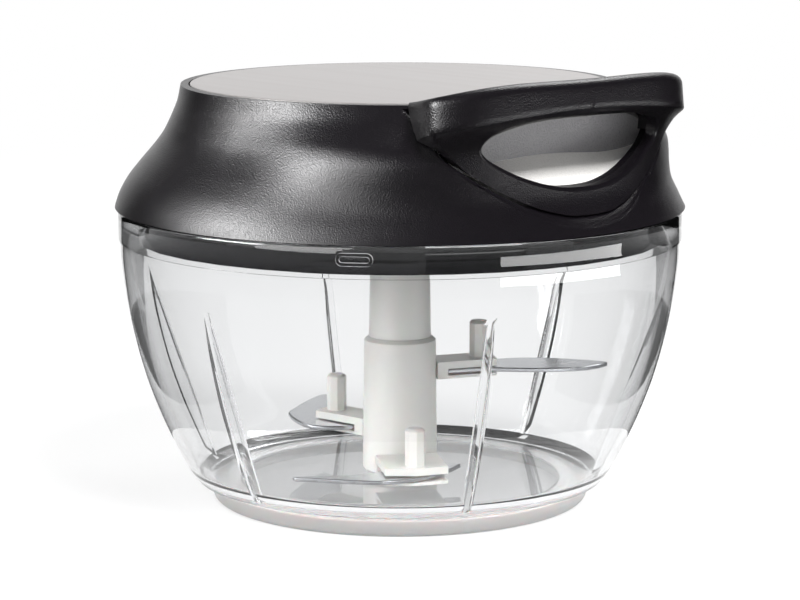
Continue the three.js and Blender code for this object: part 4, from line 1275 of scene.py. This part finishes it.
    def build(self, shop: Workshop) -> None:
        """Builds and dresses the bell and its disc.

        Args:
            shop: where the pieces are made.
        """
        walls = self.recess(-self.wall, self.recess_back - self.wall, self.plate_bottom + self.lap)
        hollow = self.bell(-self.wall, self.bottom - OVERRUN, self.plate_bottom)
        hollow.cut(walls, self.pocket(self.wall))
        seat = Solid(drum(self.disc_radius + self.gap, self.plate_top, ABOVE, self.steps))
        guide = Solid(rod(self.guide_bore, *((x, 0, self.cord_height) for x in self.guide_ends)))
        start, ceiling = -self.edge_start * self.edge, self.plate_top + self.edge_rise
        steps = [(start, start), *fillet(self.edge), (self.edge_reach, self.edge)]
        rim = Solid(lofted([self._seam_ring(-widen, depth, ceiling) for depth, widen in steps]))
        body = self.bell(0, self.bottom, self.top)
        body.cut(hollow, self.recess(0, self.recess_back, self.plate_bottom), self.pocket(0), seat, guide)
        body.cut(rim.cut(self.bell(-self.edge_keep * self.edge, self.bottom - OVERRUN, self.top + OVERRUN)))
        bell = shop.piece("lid_bell", body.finished(), Finish.GRAINED_BLACK, "lid_cover", 40)
        # painted light on the recess faces, then painted shade on its upright walls
        shop.add_painted_light(bell, Finish.RECESS_FLOOR_PAINTED_LIGHT, lambda at, _: self._in_recess(at))
        shop.add_painted_light(
            bell, Finish.RECESS_WALL_PAINTED_SHADE, lambda at, out: self._in_recess(at) and out.z < self.painted_shade_upright
        )
        edge, low, high = self.disc_radius, self.disc_bottom, self.disc_top
        section = rounded([(0, low, 0), (edge, low, 0), (edge, high, self.disc_round), (0, high, 0)])
        shop.piece("disc_satin", turned(section, self.steps), Finish.SATIN_DISC, "lid_disc")


@dataclass
class Handle:
    """The pull handle, flush in the lid, and the cord's end. Sizes in millimetres."""

    lid: Lid
    steps: int = 480
    gap: float = 0.7
    wall: float = 3.0
    front: float = 63.7
    half_width: float = 44.9
    squareness: float = 4.0
    side_angle: float = 23.8
    side_offset: float = 13.3
    blend: float = 20.0
    low_middle: float = 95.6
    low_drop: float = 3.8
    low_angle: float = 34.5
    top_middle: float = 103.0
    top_drop: float = 4.2
    top_angle: float = 38.0
    band_gap: float = 0.45
    face_step: float = 0.3
    lean: float = 0.9
    round_top: float = 2.0
    flare_start: float = 81.5
    roof: float = 2.6
    roof_inner: float = 97.0
    roof_outer: float = 66.0
    wing_back: float = 36.0
    wing_span: float = 40.0
    shelf: float = 87.2
    eye_half: float = 25.7
    eye_bottom: float = 78.7
    eye_top: float = 94.0
    eye_ends: Range = (40.0, 75.0)
    lip: float = 1.0
    sill_depth: float = 5.0
    room_back: float = 20.0
    anchor_round: float = 0.2
    cord_start: float = 53.5
    cord_slice: float = 0.5

    # opposite corners of the lug that holds the cord's anchor, and of the knot's room and cord's slot in it
    LUG = ((55.9, -5.4, 73.95), (60.8, 5.4, 78.0))
    KNOT_ROOM = ((57.7, -1.6, 70.0), (60.4, 1.6, 77.3))
    CORD_SLOT = ((52.9, -1.1, 70.0), (58.0, 1.1, 76.8))
    FLARE = ((0, 0), (0.35, 0.06), (0.62, 0.22), (0.84, 0.55), (1, 1))
    EYE = (
        (0, 0),
        (0.2, 0.014),
        (0.42, 0.085),
        (0.645, 0.21),
        (0.83, 0.365),
        (0.95, 0.5),
        (1, 0.63),
        (0.95, 0.79),
        (0.765, 0.915),
        (0.53, 0.98),
        (0.2, 1),
        (0, 1),
    )

    def reach(self, azimuth: float) -> float:
        """Gives the band's radius: a squarish oval that a plane cuts short on each side.

        Args:
            azimuth: the azimuth, in radians.

        Returns:
            The radius.
        """
        away = abs(azimuth)
        ahead, across = abs(math.cos(away)) / self.front, math.sin(away) / self.half_width
        oval = (ahead**self.squareness + across**self.squareness) ** (self.blend / self.squareness)
        flank = max(math.sin(away - math.radians(self.side_angle)), 0) / self.side_offset
        return max((oval + flank**self.blend) ** (-1 / self.blend), self.lid.neck)

    def band_low(self, azimuth: float) -> float:
        """Gives the height of the band's lower edge."""
        away = min(abs(math.degrees(azimuth)), self.top_angle)
        return self.low_middle - self.low_drop * (away / self.low_angle) ** 2

    def band_top(self, azimuth: float) -> float:
        """Gives the height of the band's upper edge."""
        away = min(abs(math.degrees(azimuth)), self.top_angle)
        return self.top_middle - self.top_drop * (away / self.top_angle) ** 2

    def roof_height(self, radius: float, azimuth: float) -> float:
        """Gives the height of the handle's sloping top."""
        share = (radius - self.lid.neck) / (self.roof_outer - self.lid.neck)
        return self.roof_inner + (self.band_top(azimuth) - self.roof_inner) * share

    def face(self, height: float, azimuth: float) -> float:
        """Gives the radius of the handle's front below its band.

        Args:
            height: the height.
            azimuth: the azimuth, in radians.

        Returns:
            The radius, which grows towards the band.
        """
        reach = self.reach(azimuth)
        if height <= self.flare_start:
            return min(self.lid.skin(max(height, self.lid.bottom), 0), reach)
        start = self.lid.skin(self.flare_start, 0)
        share = (height - self.flare_start) / (self.band_low(azimuth) - self.flare_start)
        return min(start + (reach - self.face_step - start) * smooth_value(self.FLARE, share), reach)

    def body(self, skin: float, roof: float) -> Solid:
        """Makes the handle's full body.

        Args:
            skin: how far its outside is shrunk.
            roof: how far its top is lowered.

        Returns:
            The body.
        """
        below = self.lid.seam_bottom - OVERRUN

        def front(share: float, azimuth: float) -> Point:
            """Runs up the side for a share of -1 to 0, and up the flare from there to 1."""
            end = below if share < 0 else self.band_low(azimuth)
            height = self.flare_start + (end - self.flare_start) * abs(share)
            return self.face(height, azimuth) - skin, height

        def band(share: float, azimuth: float) -> Point:
            """Runs up the band."""
            radius = self.reach(azimuth)
            low = self.band_low(azimuth) + self.band_gap
            height = low + (self.roof_height(radius, azimuth) - self.round_top - low) * share
            return radius - self.lean * share * 0.5 - skin, height - roof * 0.5 * share

        def shoulder(angle: float, azimuth: float) -> Point:
            """Runs round the band's upper edge."""
            radius = self.reach(azimuth) - self.lean * 0.5
            inward, down = self.round_top * (1 - math.cos(angle)), self.round_top * (1 - math.sin(angle))
            return radius - inward - skin, self.roof_height(radius, azimuth) - roof - down

        def top(radius: float, azimuth: float) -> Point:
            """Runs inwards on the roof."""
            return radius, self.roof_height(radius, azimuth) - roof

        rows: list[Row] = [lambda _: (0, below)]
        rows += [partial(front, k / 6 - 1) for k in range(6)]
        rows += [partial(front, k / 12) for k in range(13)]
        rows += [partial(band, k / 4) for k in range(5)]
        rows += [partial(shoulder, math.radians(15 * k)) for k in range(1, 7)]
        rows += [partial(top, self.lid.neck - 3), lambda _: (0, self.roof_inner - 3 - roof)]
        return Solid(ring_body(rows, self.steps))

    def _eye_outline(self, grow: float) -> list[Point]:
        """Gives the finger opening's outline.

        Args:
            grow: how far it is moved outwards.

        Returns:
            The outline's (y, z) points.
        """
        height = self.eye_top - self.eye_bottom
        half = [(across * self.eye_half, self.eye_bottom + up * height) for across, up in self.EYE]
        return mirrored(widened(curve_through(half, 6), grow))

    def eye(self) -> Solid:
        """Makes the finger opening with a round lip.

        Returns:
            The opening, as a body to cut with.
        """
        inside, outside = self.eye_ends
        rings = [[(inside, y, z) for y, z in self._eye_outline(0)]]
        for depth, grow in fillet(self.lip):
            ring = []
            for y, z in self._eye_outline(grow):
                x = self.lid.skin_radius
                for _ in range(3):
                    x = math.sqrt((self.face(z, math.atan2(y, x)) + depth) ** 2 - y * y)
                ring.append((x, y, z))
            rings.append(ring)
        rings.append([(outside, y, z) for y, z in self._eye_outline(self.lip)])
        return Solid(lofted(rings))

    def build(self, shop: Workshop) -> None:
        """Builds and dresses the handle, the cord and its anchor.

        Args:
            shop: where the pieces are made.
        """
        lid, floor = self.lid, self.lid.seam_bottom - OVERRUN
        back, ceiling = lid.recess_back + self.gap, lid.plate_bottom - self.gap
        space, spare = (lid.recess(self.gap, back, ceiling) for _ in range(2))
        neck = Solid(drum(lid.neck + self.gap, lid.top - lid.lap, ABOVE, self.steps))
        keep = lid.bell(self.gap, lid.bottom - OVERRUN, lid.top).add(neck).cut(spare)
        end = math.radians(self.low_angle)
        low = self.band_low(end)
        right = [(lid.seam_half - self.gap, self.shelf), (self.reach(end) * math.sin(end), low)]
        right += [(self.wing_span, low), (self.wing_span, ABOVE)]
        above = prism(mirrored(right), self.wing_back, lid.recess_reach)
        body = self.body(0, 0).keep(space.add(Solid(above)))
        room = self.body(self.wall, self.roof).keep(lid.recess(self.gap + self.wall, self.room_back, ABOVE))
        behind = Solid(drum(lid.skin_radius - self.sill_depth, floor, lid.recess_level, self.steps))
        body.cut(keep, room, behind, self.eye())
        body.add(Solid(block(*self.LUG))).cut(Solid(block(*self.KNOT_ROOM)), Solid(block(*self.CORD_SLOT)))
        shop.piece("grip", body.finished(), Finish.GRAINED_BLACK, "pull_handle", 40)
        shop.refined("cord_anchor", Finish.BRASS, self.anchor_round)
        self._cord(shop)

    def _cord(self, shop: Workshop) -> None:
        """Makes the cord, which runs between the lid's guide and the handle, as a sliced copy that rides on
        no body.

        Args:
            shop: where the pieces are made.
        """
        copy = sliced(shop.copied("pull_cord"), [self.cord_start + k * self.cord_slice for k in range(1, 8)])
        cord = shop.piece("cord_run", copy, Finish.CORD, "pull_cord", 60, rides=False)
        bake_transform(cord)


@dataclass
class Blades:
    """The hub and its three blades. Sizes in millimetres."""

    hub_round: float = 0.35
    blade_round: float = 0.3
    sharp: float = 40.0

    def build(self, shop: Workshop) -> None:
        """Builds and dresses the hub and the blades.

        Args:
            shop: where the pieces are made.
        """
        shop.refined("blade_hub", Finish.WHITE_PLASTIC, self.hub_round, self.sharp)
        for node in ("upper_blade", "middle_blade", "lower_blade"):
            shop.refined(node, Finish.BLADE_STEEL, self.blade_round, self.sharp)


@dataclass
class Mechanism:
    """What the lid holds inside, and the skirt that shows through the bowl's band. Sizes in millimetres."""

    skirt_round: float = 0.2
    seal_sharp: float = 60.0

    def build(self, shop: Workshop) -> None:
        """Dresses the inner pieces.

        Args:
            shop: where the pieces are made.
        """
        shop.refined("lid_base", Finish.GLOSS_BLACK, self.skirt_round)
        shop.refined("lid_seal", Finish.BLACK_RUBBER, sharp=self.seal_sharp)
        for node, finish in (
            ("spring_housing", Finish.GREY_PLASTIC),
            ("cord_reel", Finish.GREY_PLASTIC),
            ("drive_spindle", Finish.WHITE_PLASTIC),
            ("spring_plate", Finish.SPRING_STEEL),
            ("return_spring", Finish.SPRING_STEEL),
            ("spring_arbor", Finish.SPRING_STEEL),
            ("spindle_clip", Finish.PIN_STEEL),
            ("spindle_bush", Finish.BRASS),
            ("cord_guide", Finish.BRASS),
            ("cord_winding", Finish.CORD),
            *((f"lid_screw_{k}", Finish.PIN_STEEL) for k in range(1, 5)),
            *((f"housing_screw_{k}", Finish.PIN_STEEL) for k in range(1, 4)),
        ):
            shop.dress(node, finish)


@dataclass(frozen=True)
class Softbox:
    """One soft studio lamp, aimed at the chopper."""

    name: str
    place: Place
    width: float
    height: float
    power: float
    reflected: bool = True


@dataclass(frozen=True)
class Card:
    """One curved panel round the set, which only reflections and refractions see.

    It runs between two azimuths in degrees, along a section of (radius, height) points in metres. Its
    glow starts at another value near the chopper where that is given.
    """

    name: str
    start: float
    end: float
    section: tuple[Point, ...]
    glow: float
    middle: Point = (0.0, 0.0)
    reflected: bool = True
    refracted: bool = True
    near_glow: float = 0.0
    near: float = 0.22
    far: float = 0.6


AXIS: Point = (0.0, 0.0)
CAMERA_FOOT: Point = (0.5117, -0.437)
CARDS = (
    Card("dark_room", -190, 110, ((0.075, 0.001), (2.2, 0.001), (2.2, 1.2)), 0.01, refracted=False),
    Card("grey_room", -190, 110, ((0.22, 0.003), (2.2, 0.003), (2.2, 1.2)), 0.15, AXIS, False, near_glow=0.7),
    Card("dim_ceiling", 0, 360, ((2.2, 1.2), (1.2, 2.4), (0.05, 2.7)), 0.04, refracted=False),
    Card("left_flag", 147, 205, ((0.62, 0.002), (3.4, 0.002), (3.4, 1.5)), 0.2, CAMERA_FOOT, False),
    Card("right_flag", 74, 132, ((0.62, 0.002), (3.4, 0.002), (3.4, 1.5)), 0.2, CAMERA_FOOT, False),
    Card("key_card", -126, -98, ((1.15, 0.28), (0.95, 0.8)), 32.0, refracted=False),
    Card("wide_card", -98, -60, ((1.1, 0.3), (0.9, 0.75)), 7.0, refracted=False),
    Card("low_card", -97, -62, ((0.8, 0.02), (0.8, 0.2)), 6.0, refracted=False),
    Card("white_panel", -4, 51, ((0.31, 0.003), (0.36, 0.003), (0.36, 0.028)), 8.5, refracted=False),
)


@dataclass
class Studio:
    """Camera, floor, backdrop light and lamps. Metres."""

    lens: float = 131.85
    sensor: float = 36.0
    azimuth: float = 49.5
    distance: float = 0.67293
    eye_height: float = 0.16259
    pitch: float = 9.8503
    floor_size: float = 12.0
    floor_white: float = 0.8
    sky: float = 0.55
    paper_glow: float = 0.78
    # painted shadow: the floor's glow drops to the first value within the radius round the axis, over the
    # fade, for the shade under the bowl
    painted_shadow_glow: float = 0.36
    painted_shadow_radius: float = 0.038
    painted_shadow_fade: float = 0.006
    paper_near: float = 0.15
    paper_far: float = 0.7
    lamps: tuple[Softbox, ...] = (
        Softbox("key_left", (-0.563, -1.06, 0.59), 0.5, 0.55, 6.5),
        Softbox("top_back", (-0.2, 0.75, 1.0), 0.6, 0.5, 9.0),
        Softbox("front_high", (0.75, -0.12, 1.0), 0.3, 0.3, 18.0, False),
    )
    cards: tuple[Card, ...] = CARDS
    aim: Place = (0.0, 0.0, 0.06)

    def set_camera(self) -> None:
        """Places the camera where the photograph was taken from."""
        data = bpy.data.cameras.new("camera")
        data.lens, data.sensor_width = self.lens, self.sensor
        camera = placed("camera", data)
        turn, down = math.radians(self.azimuth), math.radians(self.pitch)
        out = Vector((math.sin(turn), -math.cos(turn), 0))
        camera.location = out * self.distance + Vector((0, 0, self.eye_height))
        look = -out * math.cos(down) - Vector((0, 0, math.sin(down)))
        camera.rotation_mode = "QUATERNION"
        camera.rotation_quaternion = look.to_track_quat("-Z", "Y")
        data.clip_start, data.clip_end = 0.01, 100
        bpy.context.scene.camera = camera

    def _seen(self, tree: bpy.types.NodeTree) -> NodeSocket:
        """Tells seen rays from those that light a surface.

        Args:
            tree: the node tree that it is made in.

        Returns:
            1 for camera, mirror and see-through rays and 0 for rays that light a surface.
        """
        path = tree.nodes.new("ShaderNodeLightPath")
        total = path.outputs["Is Camera Ray"]
        for name in ("Is Glossy Ray", "Is Transmission Ray"):
            both = tree.nodes.new("ShaderNodeMath")
            both.operation = "MAXIMUM"
            tree.links.new(total, both.inputs[0])
            tree.links.new(path.outputs[name], both.inputs[1])
            total = both.outputs[0]
        return total

    def _backdrop(self) -> None:
        """Makes the world white where it is seen, and an even soft light elsewhere."""
        world = bpy.data.worlds.new("world")
        bpy.context.scene.world = world
        world.use_nodes = True
        tree = world.node_tree
        light = tree.nodes["Background"]
        level = tree.nodes.new("ShaderNodeMapRange")
        level.inputs["To Min"].default_value = self.sky
        tree.links.new(self._seen(tree), level.inputs["Value"])
        tree.links.new(level.outputs["Result"], light.inputs["Strength"])
        light.inputs["Color"].default_value = (1, 1, 1, 1)

    def _floor(self) -> None:
        """Lays the pale floor, which looks white far out, and greyer right under the bowl where a weaker glow
        paints the bowl's shadow.
        """
        bm = bmesh.new()
        bmesh.ops.create_grid(bm, x_segments=1, y_segments=1, size=self.floor_size / 2)
        floor = shaped("floor", bm)
        shader = Shader("floor_paper")
        shader.set(Base_Color=(self.floor_white,) * 3 + (1,), Roughness=0.9, Specular_IOR_Level=0.1)
        far = shader.ramp(self.paper_near, self.paper_far, self.paper_glow, 1)
        # painted shadow: a weaker glow right under the bowl
        near = shader.ramp(self.painted_shadow_radius, self.painted_shadow_radius + self.painted_shadow_fade, self.painted_shadow_glow, 1)
        glow = shader.node("Emission", {"Strength": near})
        share = shader.node("Math", {0: self._seen(shader.tree), 1: far}, operation="MULTIPLY").outputs[0]
        mix = shader.node("MixShader", {0: share, 1: shader.main.outputs[0], 2: glow.outputs[0]})
        shader.deliver(mix.outputs[0], "Surface")
        floor.data.materials.append(shader.material)

    def _lamp(self, softbox: Softbox) -> None:
        """Hangs one lamp.

        Args:
            softbox: the lamp.
        """
        data = bpy.data.lights.new(softbox.name, "AREA")
        data.shape, data.size, data.size_y = "RECTANGLE", softbox.width, softbox.height
        data.energy = softbox.power
        lamp = placed(softbox.name, data)
        lamp.location = softbox.place
        lamp.visible_glossy = softbox.reflected
        aim = Vector(self.aim) - lamp.location
        lamp.rotation_mode = "QUATERNION"
        lamp.rotation_quaternion = aim.to_track_quat("-Z", "Y")

    def _stand_card(self, card: Card) -> None:
        """Stands one card.

        Args:
            card: the card.
        """
        bm = bmesh.new()
        verts = [bm.verts.new((radius, 0, height)) for radius, height in card.section]
        edges = [bm.edges.new(pair) for pair in zip(verts, verts[1:])]
        sweep = math.radians(card.end - card.start)
        bmesh.ops.spin(bm, geom=verts + edges, cent=(0, 0, 0), axis=(0, 0, 1), angle=sweep, steps=48)
        spun(bm, card.start)
        bmesh.ops.translate(bm, vec=(*card.middle, 0), verts=bm.verts)
        panel = shaped(card.name, bm)
        shader = Shader(card.name)
        strength: object = card.glow
        if card.near_glow:
            strength = shader.ramp(card.near, card.far, card.near_glow, card.glow)
        shader.deliver(shader.node("Emission", {"Strength": strength}).outputs[0], "Surface")
        panel.data.materials.append(shader.material)
        panel.visible_camera = panel.visible_diffuse = panel.visible_shadow = False
        panel.visible_glossy, panel.visible_transmission = card.reflected, card.refracted

    def build(self) -> None:
        """Sets up floor, backdrop, lamps and cards."""
        bpy.context.scene.view_settings.view_transform = "Standard"
        self._backdrop()
        self._floor()
        for softbox in self.lamps:
            self._lamp(softbox)
        for card in self.cards:
            self._stand_card(card)


def main() -> None:
    """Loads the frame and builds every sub-assembly round it."""
    logging.basicConfig(level=logging.INFO, format="%(message)s")
    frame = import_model()
    studio = Studio()
    studio.set_camera()
    studio.build()
    shop = Workshop(frame)
    lid = Lid()
    for assembly in (Bowl(), lid, Handle(lid), Blades(), Mechanism()):
        assembly.build(shop)
        LOG.info("built %s", type(assembly).__name__)


if __name__ == "__main__":
    main()
